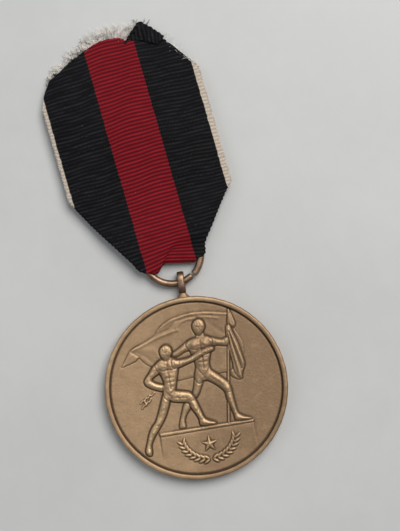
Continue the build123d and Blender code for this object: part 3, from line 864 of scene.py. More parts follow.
class MedalDiscSettings(bpy.types.PropertyGroup):
    radius: length("Disc radius", "Half the disc's width", 16.5, 5)
    thickness: length("Rim thickness", "Thickness at the rim", 2.8, 0.5)
    rim_width: length("Rim width", "Width of the raised rim", 0.9, 0.2)
    field_depth: length("Field depth", "How far the front field lies below the rim", 0.5)
    figure_relief: length("Figure relief", "Height of the athletes", 0.4)
    dish: length("Dish", "How far the front field is hollowed at its middle", 0.3)
    tablet_radius: length("Tablet radius", "Plain tablet on the back", 7.6)
    star_centre: place("Star centre", "Centre of the star", (0.9, -10.3))
    star_radius: length("Star radius", "Reach of the star's points", 1.55)
    spray_reach: length("Spray reach", "How far each laurel spray goes sideways", 4.9)
    spray_rise: length("Spray rise", "How far each laurel spray rises", 4.4)
    # The field's shadow colour is painted shade towards the right as well as random darker patches; its light
    # colour is random lighter patches and the shaded right side of rubbed bronze.
    field: tint("Field colour", "Toned bronze", (0.345, 0.228, 0.132))
    field_shadow: tint("Field shadow", "Toned bronze, darker", (0.235, 0.152, 0.088))
    field_light: tint("Field light", "Toned bronze, lighter", (0.42, 0.282, 0.162))
    rubbed: tint("Rubbed colour", "Bronze rubbed bright", (0.54, 0.38, 0.215))
    hollow: tint("Hollow colour", "Bronze toned dark in the hollows", (0.07, 0.042, 0.026))


class MedalRingSettings(bpy.types.PropertyGroup):
    wire: length("Wire", "Ring wire's thickness", 1.25, 0.2)
    radius: length("Ring radius", "Radius of the ring's centreline", 5.27, 1)
    gap: length("Gap", "Width of the sawn gap", 0.42)
    gap_turn: degrees("Gap direction", "Where the gap is", -52.0)
    eyelet_width: length("Eyelet width", "Width of the eyelet's strip", 1.25)
    eyelet_strip: length("Eyelet strip", "Thickness of the eyelet's strip", 0.6)
    dark: tint("Dark bronze", "Toned wire", (0.15, 0.09, 0.06))
    light: tint("Light bronze", "Rubbed wire", (0.34, 0.222, 0.145))


class MedalRibbonSettings(bpy.types.PropertyGroup):
    half_width: length("Half width", "Half the ribbon's width", 14.5)
    cloth: length("Cloth", "Thickness of the cloth between its ribs", 0.2)
    rib_pitch: length("Rib pitch", "Distance from rib to rib", 0.66, 0.1)
    rib_height: length("Rib height", "How far a rib stands up", 0.13)
    centre_half: length("Centre stripe", "Half the centre stripe's width", 4.6)
    edge_inner: length("Edge stripe", "Where the pale edge stripe begins, from the middle", 13.75)
    bead: length("Edge bead", "Size of the loops along the woven edge", 0.5)
    dark: tint("Dark stripe", "Dark stripe", (0.0016, 0.0016, 0.0024))
    dark_light: tint("Dark stripe, light", "Dark stripe's lighter ribs", (0.0105, 0.0105, 0.013))
    centre: tint("Centre stripe colour", "Centre stripe", (0.158, 0.0035, 0.008))
    centre_light: tint("Centre stripe, light", "Centre stripe's lighter ribs", (0.215, 0.006, 0.0125))
    edge: tint("Edge stripe colour", "Pale edge", (0.53, 0.475, 0.42))
    edge_shadow: tint("Edge stripe shadow", "Pale edge's shadow", (0.36, 0.30, 0.255))


class MedalFraySettings(bpy.types.PropertyGroup):
    count: IntProperty(name="Threads", description="How many threads the fringe has", default=2200, min=1)
    length: length("Length", "Length of a loose thread", 3.4)
    thickness: length("Thickness", "Thickness of a loose thread", 0.042)
    seed: IntProperty(name="Seed", description="Changes how the threads lie", default=7)
    pale: tint("Pale thread", "Undyed thread", (0.84, 0.795, 0.74))
    rose: tint("Rose thread", "Thread stained by the red dye", (0.72, 0.40, 0.38))


class MedalStageSettings(bpy.types.PropertyGroup):
    roll: degrees("Camera roll", "How far the camera is turned", 8.2)
    reach: length("View height", "Height of the view on the table", 95.54, 1)
    centre: place("View centre", "Middle of the view", (3.79, 21.72))
    lens: length("Lens", "Focal length", 85.0, 1)
    table: tint("Table", "Table colour", (0.455, 0.455, 0.447))
    table_shadow: tint("Table shadow", "Table colour, darker", (0.425, 0.427, 0.423))


SETTING_GROUPS = (
    ("medal_disc_settings", MedalDiscSettings),
    ("medal_ring_settings", MedalRingSettings),
    ("medal_ribbon_settings", MedalRibbonSettings),
    ("medal_fray_settings", MedalFraySettings),
    ("medal_stage_settings", MedalStageSettings),
)


# ------------------------------------------------------------ repeated parts
class Tree(Nodes):
    """A Geometry Nodes tree that takes points and gives solid copies with a material."""

    def __init__(self, name, **inputs):
        self.tree = bpy.data.node_groups.new(name, "GeometryNodeTree")
        sockets = {"Geometry": "Geometry", **inputs, "Material": "Material"}
        for label, kind in sockets.items():
            label = label.replace("_", " ")
            self.tree.interface.new_socket(label, in_out="INPUT", socket_type="NodeSocket" + kind)
        self.tree.interface.new_socket("Geometry", in_out="OUTPUT", socket_type="NodeSocketGeometry")
        self.inputs = self.tree.nodes.new("NodeGroupInput").outputs

    def given(self, name):
        """One of the tree's own inputs."""
        return Wire(self, self.inputs[name])

    def named(self, name, kind="FLOAT"):
        """A number or direction stored on the points."""
        return self.node("GeometryNodeInputNamedAttribute", {"data_type": kind}, {"Name": name})

    def copies(self, part, scale):
        """One copy of a part on each point, turned along the point's heading."""
        heading = {"Vector": self.named("heading", "FLOAT_VECTOR")}
        turn = self.node("FunctionNodeAlignRotationToVector", {"axis": "Y"}, heading)
        points = self.node("GeometryNodeMeshToPoints", (), {0: self.given("Geometry")})
        inputs = {"Points": points, "Instance": part, "Rotation": turn, "Scale": scale}
        return self.node("GeometryNodeInstanceOnPoints", (), inputs)

    def finished(self, geometry):
        """Ends the tree: real copies, smooth, in the given material."""
        real = self.node("GeometryNodeRealizeInstances", (), {0: geometry})
        smooth = self.node("GeometryNodeSetShadeSmooth", (), {0: real})
        inputs = {0: smooth, "Material": self.given("Material")}
        painted = self.node("GeometryNodeSetMaterial", (), inputs)
        self.feed(self.tree.nodes.new("NodeGroupOutput").inputs[0], painted)
        return self.tree


def loop_tree():
    """Small rounded loops, one on each point, turned along the edge."""
    tree = Tree("edge_loops", Loop_size="Float", Unevenness="Float", Seed="Int")
    ball = tree.node("GeometryNodeMeshUVSphere", (), {"Segments": 8, "Rings": 5, "Radius": 0.5})
    inputs = {2: 1.0 - tree.given("Unevenness"), 3: 1.0, "Seed": tree.given("Seed")}
    size = tree.node("FunctionNodeRandomValue", {"data_type": "FLOAT"}, inputs, 1) * tree.given("Loop size")
    scale = tree.node("ShaderNodeCombineXYZ", (), {0: size, 1: size * 0.62, 2: size * 0.7})
    return tree.finished(tree.copies(ball, scale))


def thread_tree():
    """Curled threads, one from each point along its heading, none of them under the table."""
    tree = Tree("threads", Thickness="Float", Curl="Float", Table="Float", Seed="Int")
    straight = tree.node("GeometryNodeCurvePrimitiveLine", (), {"Start": (0, 0, 0), "End": (0, 1, 0)})
    line = tree.node("GeometryNodeResampleCurve", (), {"Curve": straight, "Count": 8})
    curves = tree.node("GeometryNodeRealizeInstances", (), {0: tree.copies(line, tree.named("reach"))})
    inputs = {"Vector": tree.node("GeometryNodeInputPosition"), "W": tree.given("Seed")}
    inputs.update({"Scale": 900.0, "Detail": 1.0})
    noise = tree.node("ShaderNodeTexNoise", {"noise_dimensions": "4D"}, inputs, 1)
    shift = tree.node("ShaderNodeVectorMath", {"operation": "SUBTRACT"}, {0: noise, 1: (0.5, 0.5, 0.5)})
    strength = tree.node("GeometryNodeSplineParameter") * tree.given("Curl") * 5.0
    shift = tree.node("ShaderNodeVectorMath", {"operation": "SCALE"}, {0: shift, "Scale": strength})
    curves = tree.node("GeometryNodeSetPosition", (), {0: curves, "Offset": shift})
    position = {0: tree.node("GeometryNodeInputPosition")}
    x, y, z = (tree.node("ShaderNodeSeparateXYZ", (), position, k) for k in range(3))
    kept = tree.node("ShaderNodeCombineXYZ", (), {0: x, 1: y, 2: z.maths("MAXIMUM", z, tree.given("Table"))})
    curves = tree.node("GeometryNodeSetPosition", (), {0: curves, "Position": kept})
    inputs = {"Resolution": 3, "Radius": tree.given("Thickness") * 0.5}
    section = tree.node("GeometryNodeCurvePrimitiveCircle", {"mode": "RADIUS"}, inputs)
    inputs = {"Curve": curves, "Profile Curve": section, "Fill Caps": True}
    return tree.finished(tree.node("GeometryNodeCurveToMesh", (), inputs))


def repeated(name, tree, points, measures, inputs):
    """The plain mesh that a tree makes from points in millimetres and the numbers stored on them."""
    mesh = bpy.data.meshes.new(name + "_points")
    mesh.from_pydata((points * MM).tolist(), [], [])
    store(mesh, measures)
    holder = in_scene(name + "_points", mesh)
    modifier = holder.modifiers.new("parts", "NODES")
    modifier.node_group = tree
    for item in tree.interface.items_tree:
        if item.in_out == "INPUT" and item.name in inputs:
            modifier[item.identifier] = inputs[item.name]
    depsgraph = bpy.context.evaluated_depsgraph_get()
    made = bpy.data.meshes.new_from_object(holder.evaluated_get(depsgraph), depsgraph=depsgraph)
    bpy.data.objects.remove(holder)
    made.name = name
    if not made.polygons:
        raise RuntimeError(name + " came out empty")
    return welded(in_scene(name, made))


# ------------------------------------------------------------ disc
def quarter(steps, first=0):
    """Angles over a quarter turn, in equal steps."""
    return [math.pi / 2 * k / steps for k in range(first, steps + 1)]


class MEDAL_OT_disc(bpy.types.Operator):
    """Strikes the disc: its front in relief, its rim, edge and back, and its lug"""

    bl_idname = "medal.disc"
    bl_label = "Disc"

    def execute(self, context):
        settings = context.scene.medal_disc_settings
        bronze = struck_bronze(settings)
        obverse = self.obverse(settings, bronze)
        back = self.rim_and_back(settings, bronze)
        lug = self.lug(settings, bronze)
        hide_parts("medal_disc")
        return {"FINISHED"}

    def obverse(self, settings, bronze):
        """The front's field and relief, closed with a skirt and a flat underside."""
        cells = 306
        radius = settings.radius - settings.rim_width
        field = settings.thickness - settings.field_depth
        x, y = disc_grid(cells, radius)
        height, hollow, worn = relief_at(obverse_height, settings, x, y, radius, 0.05)
        away = np.hypot(x, y)
        groove = np.exp(-(((away - radius + 0.1) / 0.16) ** 2))
        z = field + height - 0.12 * groove - settings.dish * (1 - (away / radius) ** 2)
        points = np.stack([x, y, z], axis=1)
        loop = np.array(border_loop(cells))
        under = len(points) + np.arange(len(loop))
        skirt = points[loop] * (1, 1, 0) + (0, 0, field - 0.7)
        faces = grid_faces(cells + 1, cells + 1).tolist() + band_faces(loop, under).tolist()
        faces.append(under[::-1].tolist())
        measures = {
            "hollow": np.append(np.clip(hollow + 0.8 * groove, 0, 1), np.ones(len(loop))),
            "worn": np.append(np.clip(worn - groove, 0, 1), np.zeros(len(loop))),
        }
        points = np.concatenate([points, skirt])
        return welded(mesh_piece("medal_obverse", points, faces, bronze, "medal", measures), 1e-9)

    def rim_and_back(self, settings, bronze):
        """The rim's rounded ring, the edge and the struck back, closed under the front."""
        cells = 200
        outer, thick = settings.radius, settings.thickness
        inner, field = outer - settings.rim_width, thick - settings.field_depth
        x, y = disc_grid(cells, inner)
        height, hollow, worn = relief_at(reverse_height, settings, x, y, inner, 0.08)
        groove = np.exp(-(((np.hypot(x, y) - inner) / 0.2) ** 2))
        points = [np.stack([x, y, 0.25 - height + 0.04 * groove], axis=1)]
        hollows, worns = [hollow + 0.7 * groove], [worn - groove]
        faces = grid_faces(cells + 1, cells + 1, flip=True).tolist()
        previous = np.array(border_loop(cells))
        count = len(previous)
        turn = np.arctan2(y[previous], x[previous])
        nick = 0.02 * np.sin(turn * 9 + 1.3) * np.sin(turn * 23) + 0.012 * np.sin(turn * 61 + 2.0)
        for k, (radius, z, hollow, worn) in enumerate(self.profile(inner, outer, thick, field)):
            ring = len(x) + k * count + np.arange(count)
            wavy = radius + nick * (1.0 if radius > outer - 0.36 else 0.3)
            level = np.full(count, z) + (0.25 * nick if z > 1 else 0)
            points.append(np.stack([wavy * np.cos(turn), wavy * np.sin(turn), level], axis=1))
            hollows.append(np.full(count, hollow))
            worns.append(worn * (0.75 + 0.25 * np.sin(turn * 5 + 0.6)))
            faces += band_faces(previous, ring)[:, ::-1].tolist()
            previous = ring
        faces.append(previous.tolist())
        shares = (np.clip(np.concatenate(parts), 0, 1) for parts in (hollows, worns))
        measures = dict(zip(("hollow", "worn"), shares))
        points = np.concatenate(points)
        return welded(mesh_piece("medal_rim_and_back", points, faces, bronze, "medal", measures), 1e-9)

    def profile(self, inner, outer, thick, field):
        """The rim's outline from the back to under the front: radius, height, hollow share and worn share."""
        line = [(inner + 0.04, 0.14, 0.7, 0.0), (inner + 0.12, 0.04, 0.1, 0.5), (inner + 0.3, 0.0, 0.0, 0.8)]
        line += [(outer - 0.42, 0.0, 0.0, 0.8)]
        line += [(outer - 0.3 + 0.3 * math.sin(b), 0.3 - 0.3 * math.cos(b), 0.0, 0.9) for b in quarter(6)]
        line += [(outer, 0.7, 0.25, 0.1), (outer, 1.4, 0.3, 0.0), (outer, thick - 0.7, 0.25, 0.1)]
        line += [
            (outer - 0.34 + 0.34 * math.cos(b), thick - 0.3 + 0.3 * math.sin(b), 0.0, 0.75)
            for b in quarter(8)
        ]
        line += [(outer - 0.5, thick + 0.004, 0.0, 0.55), (outer - 0.64, thick - 0.01, 0.0, 0.5)]
        line += [
            (inner + 0.24 - 0.22 * math.sin(b), thick - 0.22 + 0.2 * math.cos(b), 0.1 * k, 0.4 - 0.06 * k)
            for k, b in enumerate(quarter(6, 1), 1)
        ]
        line += [(inner + 0.01, field + 0.1, 0.9, 0.0)]
        return line + [(inner + 0.005, field - depth, 1.0, 0.0) for depth in (0.3, 0.6)]

    def lug(self, settings, bronze):
        """The lug that flares out of the rim to hold the eyelet."""
        low, high = settings.radius - 0.45, settings.radius + 1.05
        count = 26
        share = np.linspace(0, 1, count)
        wide = 0.6 + 1.5 * (1 - share) ** 2.4
        tall = 0.72 + 0.42 * (1 - share) ** 2.0
        middle = np.full(count, settings.thickness / 2)
        centres = np.stack([np.zeros(count), low + (high - low) * share, middle], axis=1)
        sides, ups = np.tile([1.0, 0, 0], (count, 1)), np.tile([0, 0, 1.0], (count, 1))
        piece = swept_piece("medal_lug", centres, sides, ups, wide, tall, 2.6, 32, bronze, "medal")
        quiet = np.full(len(piece.data.vertices), 0.25)
        store(piece.data, {"hollow": quiet, "worn": quiet})
        return piece


# ------------------------------------------------------------ eyelet and ring
def middle_of(box):
    """The centre and half sizes of a box, in millimetres."""
    low, high = (np.array(corner) / MM for corner in box)
    return (low + high) / 2, (high - low) / 2


class MEDAL_OT_eyelet(bpy.types.Operator):
    """Bends the eyelet's flattened wire into its upright oval"""

    bl_idname = "medal.eyelet"
    bl_label = "Eyelet"

    def execute(self, context):
        settings = context.scene.medal_ring_settings
        centre, half = middle_of(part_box("suspension_eyelet"))
        strip = settings.eyelet_strip
        count = 120
        turn = np.linspace(0, math.tau, count, endpoint=False)
        bend = half[2] - strip / 2
        y = bend * np.cos(turn) + (half[1] - half[2]) * np.tanh(np.cos(turn) * 3.2)
        centres = centre + np.stack([0.02 * np.sin(turn * 2), y, bend * np.sin(turn)], axis=1)
        ahead = np.roll(centres, -1, axis=0) - np.roll(centres, 1, axis=0)
        ahead /= np.linalg.norm(ahead, axis=1)[:, None]
        sides = np.tile([1.0, 0, 0], (count, 1))
        ups = np.cross(sides, ahead)
        wide = settings.eyelet_width / 2 * (1 + 0.03 * np.sin(turn * 3 + 1))
        bronze = drawn_bronze("eyelet_bronze", settings.dark, settings.light)
        piece = swept_piece(
            "eyelet_loop", centres, sides, ups, wide, strip / 2, 2.8, 28, bronze, "medal", closed=True
        )
        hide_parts("suspension_eyelet")
        return {"FINISHED"}


class MEDAL_OT_ring(bpy.types.Operator):
    """Bends the split ring, with its two sawn ends a little out of line"""

    bl_idname = "medal.ring"
    bl_label = "Split ring"

    def execute(self, context):
        settings = context.scene.medal_ring_settings
        centre, _ = middle_of(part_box("suspension_ring"))
        count = 300
        half_gap = settings.gap / 2 / settings.radius
        start = math.radians(settings.gap_turn)
        turn = np.linspace(start + half_gap, start + math.tau - half_gap, count)
        share = np.linspace(0, 1, count)
        spring = 0.05 * (np.exp(-share * 14) - np.exp(-(1 - share) * 14))
        out = np.stack([np.cos(turn), np.sin(turn), np.zeros(count)], axis=1)
        centres = centre + out * (settings.radius + spring)[:, None]
        centres[:, 2] += spring * 1.2
        ups = np.tile([0, 0, 1.0], (count, 1))
        end = np.minimum(share, 1 - share) * count
        wire = settings.wire / 2 * (1 - 0.16 * np.exp(-end * 0.9))
        bronze = drawn_bronze("ring_bronze", settings.dark, settings.light)
        piece = swept_piece("ring_wire", centres, out, ups, wire, wire, 2.0, 28, bronze, "ring")
        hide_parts("suspension_ring")
        return {"FINISHED"}


# ------------------------------------------------------------ ribbon
# Places on the ribbon: w across the flat cloth, s along it from the turn in the ring, and once it is folded
# u across, t lengthways from the ring's centre and z up from the table.
def joint(name):
    """A joint of the frame."""
    return next(entry for entry in frame["joints"] if entry["name"] == name)


def ribbon_axes():
    """The ribbon's sideways and lengthways directions, from the bend's joint."""
    side = np.array(joint("ribbon_bend")["axis"][:2])
    side /= np.linalg.norm(side)
    return side, np.array([-side[1], side[0]])


def placed(u, t, z):
    """Points from across, along and height on the ribbon to the medal's own frame."""
    origin = np.array(joint("ribbon_turn")["pos_m"][:2]) / MM
    side, along = ribbon_axes()
    return np.stack([origin[k] + u * side[k] + t * along[k] for k in range(2)] + [z], axis=-1)


def through(pairs, places):
    """A smooth curve through (place, value) pairs, read at the given places."""
    knots, values = np.array(pairs, dtype=float).T
    slopes = np.gradient(values, knots)
    k = np.clip(np.searchsorted(knots, places) - 1, 0, len(knots) - 2)
    span = knots[k + 1] - knots[k]
    f = np.clip((places - knots[k]) / span, 0, 1)
    a = (2 * f**3 - 3 * f**2 + 1) * values[k] + (f**3 - 2 * f**2 + f) * span * slopes[k]
    return a + (3 * f**2 - 2 * f**3) * values[k + 1] + (f**3 - f**2) * span * slopes[k + 1]


SIDE_STEP = -0.55
NOSE = -2.35
TURN_RADIUS = 1.16
TURN_ARC = TURN_RADIUS * math.pi / 2
TURN_HEIGHT = 1.4
BACK_HEIGHT = 0.24
FRONT_LINE = [(0, 2.56), (3, 2.66), (7, 2.62), (10, 2.25), (18, 2.35), (27, 2.3), (34, 1.95), (39, 1.35),
    (44, 0.9)]
LEFT_FOLD = [
    (-2.6, 3.2), (-2.2, 3.75), (-1.2, 5.6), (1.1, 7.3), (5.7, 10.4), (10.2, 12.95), (12.4, 14.1),
    (14.6, 15.2),
    (18.0, 17.0),
]
RIGHT_FOLD = [
    (-2.6, 3.1), (-2.2, 3.75), (-1.2, 5.4), (0.9, 6.3), (3.9, 8.9), (7.0, 11.3), (8.5, 12.45), (10.4, 14.2),
    (14.0, 17.0),
]
FRONT_TOP = [
    (-15.5, 31.0), (-15.0, 32.5), (-14.0, 34.8), (-13.0, 36.2), (-10.5, 37.6), (-7.9, 38.8), (-4.2, 40.1),
    (-1.8, 40.5), (1.5, 40.3), (4.2, 39.6), (5.2, 41.6), (6.7, 40.95), (8.2, 39.6), (9.3, 38.4),
    (11.1, 35.9),
    (12.3, 34.2), (13.0, 33.0), (13.7, 31.7), (14.5, 30.3),
]
BACK_TOP = [
    (-15.5, 30.8), (-15.0, 32.2), (-14.0, 34.4), (-12.0, 36.4), (-8.0, 38.3), (-4.2, 39.7), (0.0, 40.2),
    (4.2, 39.3),
    (7.0, 38.6), (10.0, 36.2), (12.5, 33.9), (14.5, 31.2),
]


class Leg:
    """One leg of the ribbon, from the turn in the ring to its cut end. It faces up (1) or down (-1)."""

    def __init__(self, settings, facing, length, top):
        self.settings = settings
        self.facing = facing
        self.length = length
        self.top = top
        self.rows = int(length / settings.rib_pitch) * 5 + 1

    def path(self, s):
        """The leg's line seen from the side: t and z, and the direction that its face looks."""
        bend = np.clip(s / TURN_RADIUS, 0, math.pi / 2)
        run = np.clip(s - TURN_ARC, 0, None)
        rise = self.facing * np.sin(bend)
        lying = through(FRONT_LINE, run) if self.facing > 0 else BACK_HEIGHT
        z = np.where(s < TURN_ARC, TURN_HEIGHT + TURN_RADIUS * rise, lying)
        if self.facing < 0:
            z = z + 0.06 * np.clip(s / TURN_ARC, 0, 1)
        return NOSE + TURN_RADIUS * (1 - np.cos(bend)) + run, z, -np.cos(bend), rise

    def columns(self, t):
        """Places across the cloth for one row: close together where the cloth folds."""
        half, widest = self.settings.half_width, 13.2
        step = SIDE_STEP * self.facing
        left = min(widest, float(through(LEFT_FOLD, np.array([t]))[0]) - 0.3 + step)
        right = min(widest, float(through(RIGHT_FOLD, np.array([t]))[0]) - 0.3 - step)
        parts = [np.linspace(-half, -(left + 0.75), 9)[:-1], np.linspace(-(left + 0.75), -left, 7)[:-1]]
        parts += [np.linspace(-left, right, 50), np.linspace(right, right + 0.75, 7)[1:]]
        return np.concatenate(parts + [np.linspace(right + 0.75, half, 9)[1:]])

    def folded(self, w, edge):
        """How far out and how far behind a point is, when the cloth past the edge is folded in."""
        tuck = 0.16
        past = w - edge + tuck
        bend = np.clip(past / tuck, 0, math.pi)
        beyond = np.clip(past - math.pi * tuck, 0, None)
        limit = 0.88 * edge
        reach = limit * np.tanh(beyond / limit)
        out = np.where(past <= 0, w, edge - tuck + tuck * np.sin(bend) - reach)
        return out, np.where(past <= 0, 0, tuck * (1 - np.cos(bend))) + 0.02 * np.clip(reach, 0, 2)

    def middle(self, s, w):
        """The middle of the cloth at a distance s up from the turn and a place w across."""
        t, z, nt, nz = self.path(s)
        out_left, behind_left = self.folded(-w, through(LEFT_FOLD, t) + SIDE_STEP)
        out_right, behind_right = self.folded(w, through(RIGHT_FOLD, t) - SIDE_STEP)
        u = np.where(w < 0, -out_left, out_right) + SIDE_STEP
        behind = np.where(w < 0, behind_left, behind_right)
        return self.shaped(u, t - nt * behind, z - nz * behind, w)

    def shaped(self, u, t, z, w):
        """The cloth's own unevenness: leaning folds by the ring, and a crowned, wavy front."""
        lean, lower = neck_warp(u, t)
        if self.facing < 0:
            near = np.clip((1.5 - t) / 3.85, 0, 1) ** 2
            return placed(u, t + lean * near, np.maximum(z - near * lower * 0.4, np.minimum(z, 0.3)))
        crown = 0.35 * np.sqrt(np.clip(1 - np.abs(w) / 15, 0, 1)) - 0.25
        waves = 0.10 * np.sin(t * 0.34 + u * 0.16) + 0.06 * np.sin(u * 0.5 - t * 0.21)
        rise = np.clip((t - 6) / 8, 0, 1)
        z = z + rise * (crown + waves) - lower * np.clip((t - NOSE) / 0.6, 0, 1)
        t = t + lean
        z = z - 0.5 * np.clip((t - 35) / 6, 0, 1) ** 2
        bow = 0.16 * np.sin(u * 0.33 + t * 0.05) + 0.07 * np.sin(u * 0.9 - t * 0.4) - 0.0022 * u * u
        return placed(u, t + rise * bow, z)

    def cut(self, w):
        """The distance from the turn to the ragged cut end, at places across."""
        ragged = np.interp(w, np.linspace(-15, 15, 90), np.random.default_rng(5).normal(0, 0.07, 90))
        return through(self.top, w + SIDE_STEP) - NOSE + 0.65 + ragged


def ribbon_legs(settings):
    """The front leg and the back leg."""
    return Leg(settings, 1, 44.5, FRONT_TOP), Leg(settings, -1, 45.5, BACK_TOP)


def neck_warp(u, t):
    """How the gathered cloth leans near the ring: the left part over the right, along one slanting crease."""
    low = np.clip((4.5 - t) / 5.0, 0, 1) ** 1.5
    crease = 1 / (1 + np.exp(-((u + 0.9) - (t + 0.4) * 0.9) / 0.28))
    lean = (1 - crease) * 0.14 * (u + 1.8) + crease * (0.55 - 0.26 * (u - 1.6))
    return low * lean, crease * 0.6 * np.clip((2.6 - t) / 2.2, 0, 1)


def ribbon_leg(name, leg, material):
    """One leg of the ribbon as a closed ribbed cloth."""
    s_rows = np.linspace(0, leg.length, leg.rows)
    w = np.stack([leg.columns(t) for t in leg.path(s_rows)[0]])
    s = np.minimum(np.repeat(s_rows[:, None], w.shape[1], axis=1), leg.cut(w))
    return woven(name, leg.middle(s, w), w, s, leg.settings, material)


def woven(name, middle, w, s, settings, material, whole=False):
    """A closed cloth with raised ribs about a grid of middle points, with what its colours are read from."""
    normal = np.cross(np.gradient(middle, axis=1), np.gradient(middle, axis=0))
    size = np.linalg.norm(normal, axis=2, keepdims=True)
    normal = normal / np.where(size < 1e-9, 1, size)
    alive = (s[1:] > s[:-1] + 1e-7) | whole
    for column, row in enumerate(alive.sum(axis=0)):
        if 1 < row < len(s) - 1:
            normal[row - 1 :, column] = normal[row - 2, column]
    groove = 0.5 + 0.5 * np.cos(math.tau * s / settings.rib_pitch)
    jitter = 1 + 0.18 * np.sin(s * 2.1 + w * 0.4) * np.sin(w * 1.3 + s * 0.5)
    selvedge = np.clip((np.abs(w) - 13.6) / 0.7, 0, 1)
    half = settings.cloth / 2 * (1 - 0.35 * selvedge) + settings.rib_height * (1 - groove**1.4) * jitter
    points = np.concatenate([(middle + side * normal * half[..., None]).reshape(-1, 3) for side in (1, -1)])
    keep = (alive[:, :-1] | alive[:, 1:]).ravel()
    upper = grid_faces(*w.shape)[keep]
    lower = grid_faces(*w.shape, start=w.size, flip=True)[keep]
    edges = {(a, b) for face in upper.tolist() for a, b in zip(face, face[1:] + face[:1])}
    walls = [
        [b, a, a + w.size, b + w.size]
        for a, b in sorted(edges)
        if (b, a) not in edges and np.abs(points[a] - points[b]).max() > 1e-7
    ]
    faces = upper.tolist() + lower.tolist() + walls
    measures = {"across": np.tile(w.ravel(), 2), "along": np.tile(s.ravel(), 2)}
    return welded(mesh_piece(name, points, faces, material, None, measures), 2e-7)


def turned_corner(leg, material):
    """The front leg's torn corner, curled over its own fold to lie on the front."""
    rows, columns = 50, 64
    p = np.linspace(0, 1, rows)[:, None] * np.ones((1, columns))
    w_fold = 5.7 + 4.1 * p
    s_fold = leg.cut(w_fold)
    side, along = ribbon_axes()
    inward = np.array([-0.76, -0.65])
    away = inward[0] * side + inward[1] * along
    torn = np.interp(p, np.linspace(0, 1, 26), np.random.default_rng(11).normal(0, 0.08, 26))
    curl = 0.5 - 0.2 * p
    flat = 3.8 - 3.1 * p + 0.8 * p**2 + torn
    q = np.linspace(0, 1, columns)[None, :] * (math.pi * curl + np.clip(flat, 0.02, None))
    bend = np.clip(q / curl, 0, math.pi)
    run = np.clip(q - math.pi * curl, 0, None)
    reach = run - curl * np.sin(bend)
    sag = 0.3 * np.clip(run / 2.2, 0, 1) ** 2
    lift = curl * (1 - np.cos(bend)) - sag + 0.1 * np.sin(p * 8 + q * 0.8) * np.clip(run, 0, 1)
    lift = lift + 0.16 * np.clip(run / 0.6, 0, 1)
    middle = leg.middle(s_fold, w_fold) + np.stack([reach * away[0], reach * away[1], lift], axis=-1)
    across = np.clip(w_fold - inward[0] * q, 6.0, 12.9)
    return woven("ribbon_corner", middle, across, s_fold - inward[1] * q, leg.settings, material, whole=True)


class MEDAL_OT_ribbon(bpy.types.Operator):
    """Weaves and folds the ribbon: two legs that meet in the turn inside the ring, and the torn corner"""

    bl_idname = "medal.ribbon"
    bl_label = "Ribbon"

    def execute(self, context):
        settings = context.scene.medal_ribbon_settings
        cloth = ribbed_cloth(settings)
        front, back = ribbon_legs(settings)
        corner = turned_corner(front, cloth)
        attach(corner, "ribbon_fall")
        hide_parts("ribbon_turned_corner")
        bend = np.array(joint("ribbon_bend")["pos_m"])
        reach = np.array([*ribbon_axes()[1], 0]) * 1.7 * MM
        for name, leg, nodes, pieces in (
            ("ribbon_front", front, ("ribbon_bight", "ribbon_front_leg"), [corner]),
            ("ribbon_back", back, ("ribbon_back_leg",), []),
        ):
            piece = ribbon_leg(name, leg, cloth)
            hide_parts(*nodes)
            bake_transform(piece)
        return {"FINISHED"}


class MEDAL_OT_edge_loops(bpy.types.Operator):
    """Sets the pale loops along the ribbon's woven edges"""

    bl_idname = "medal.edge_loops"
    bl_label = "Woven edge"

    def execute(self, context):
        settings = context.scene.medal_ribbon_settings
        places, headings = [], []
        for leg in ribbon_legs(settings):
            for side in (-1, 1):
                s = np.arange(12.5, leg.length, settings.rib_pitch / 2)
                w = np.full(len(s), side * (settings.half_width + 0.05))
                line = leg.middle(s, w)
                keep = s < leg.cut(w) - 0.1
                places.append(line[keep])
                headings.append(np.gradient(line, axis=0)[keep])
        inputs = {"Loop size": settings.bead * MM, "Unevenness": 0.25, "Seed": 3}
        inputs["Material"] = loose_thread("edge_loop", settings.edge_shadow, settings.edge)
        heading = {"heading": np.concatenate(headings)}
        piece = repeated("ribbon_edge_loops", loop_tree(), np.concatenate(places), heading, inputs)
        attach(piece, "ribbon_fall")
        return {"FINISHED"}


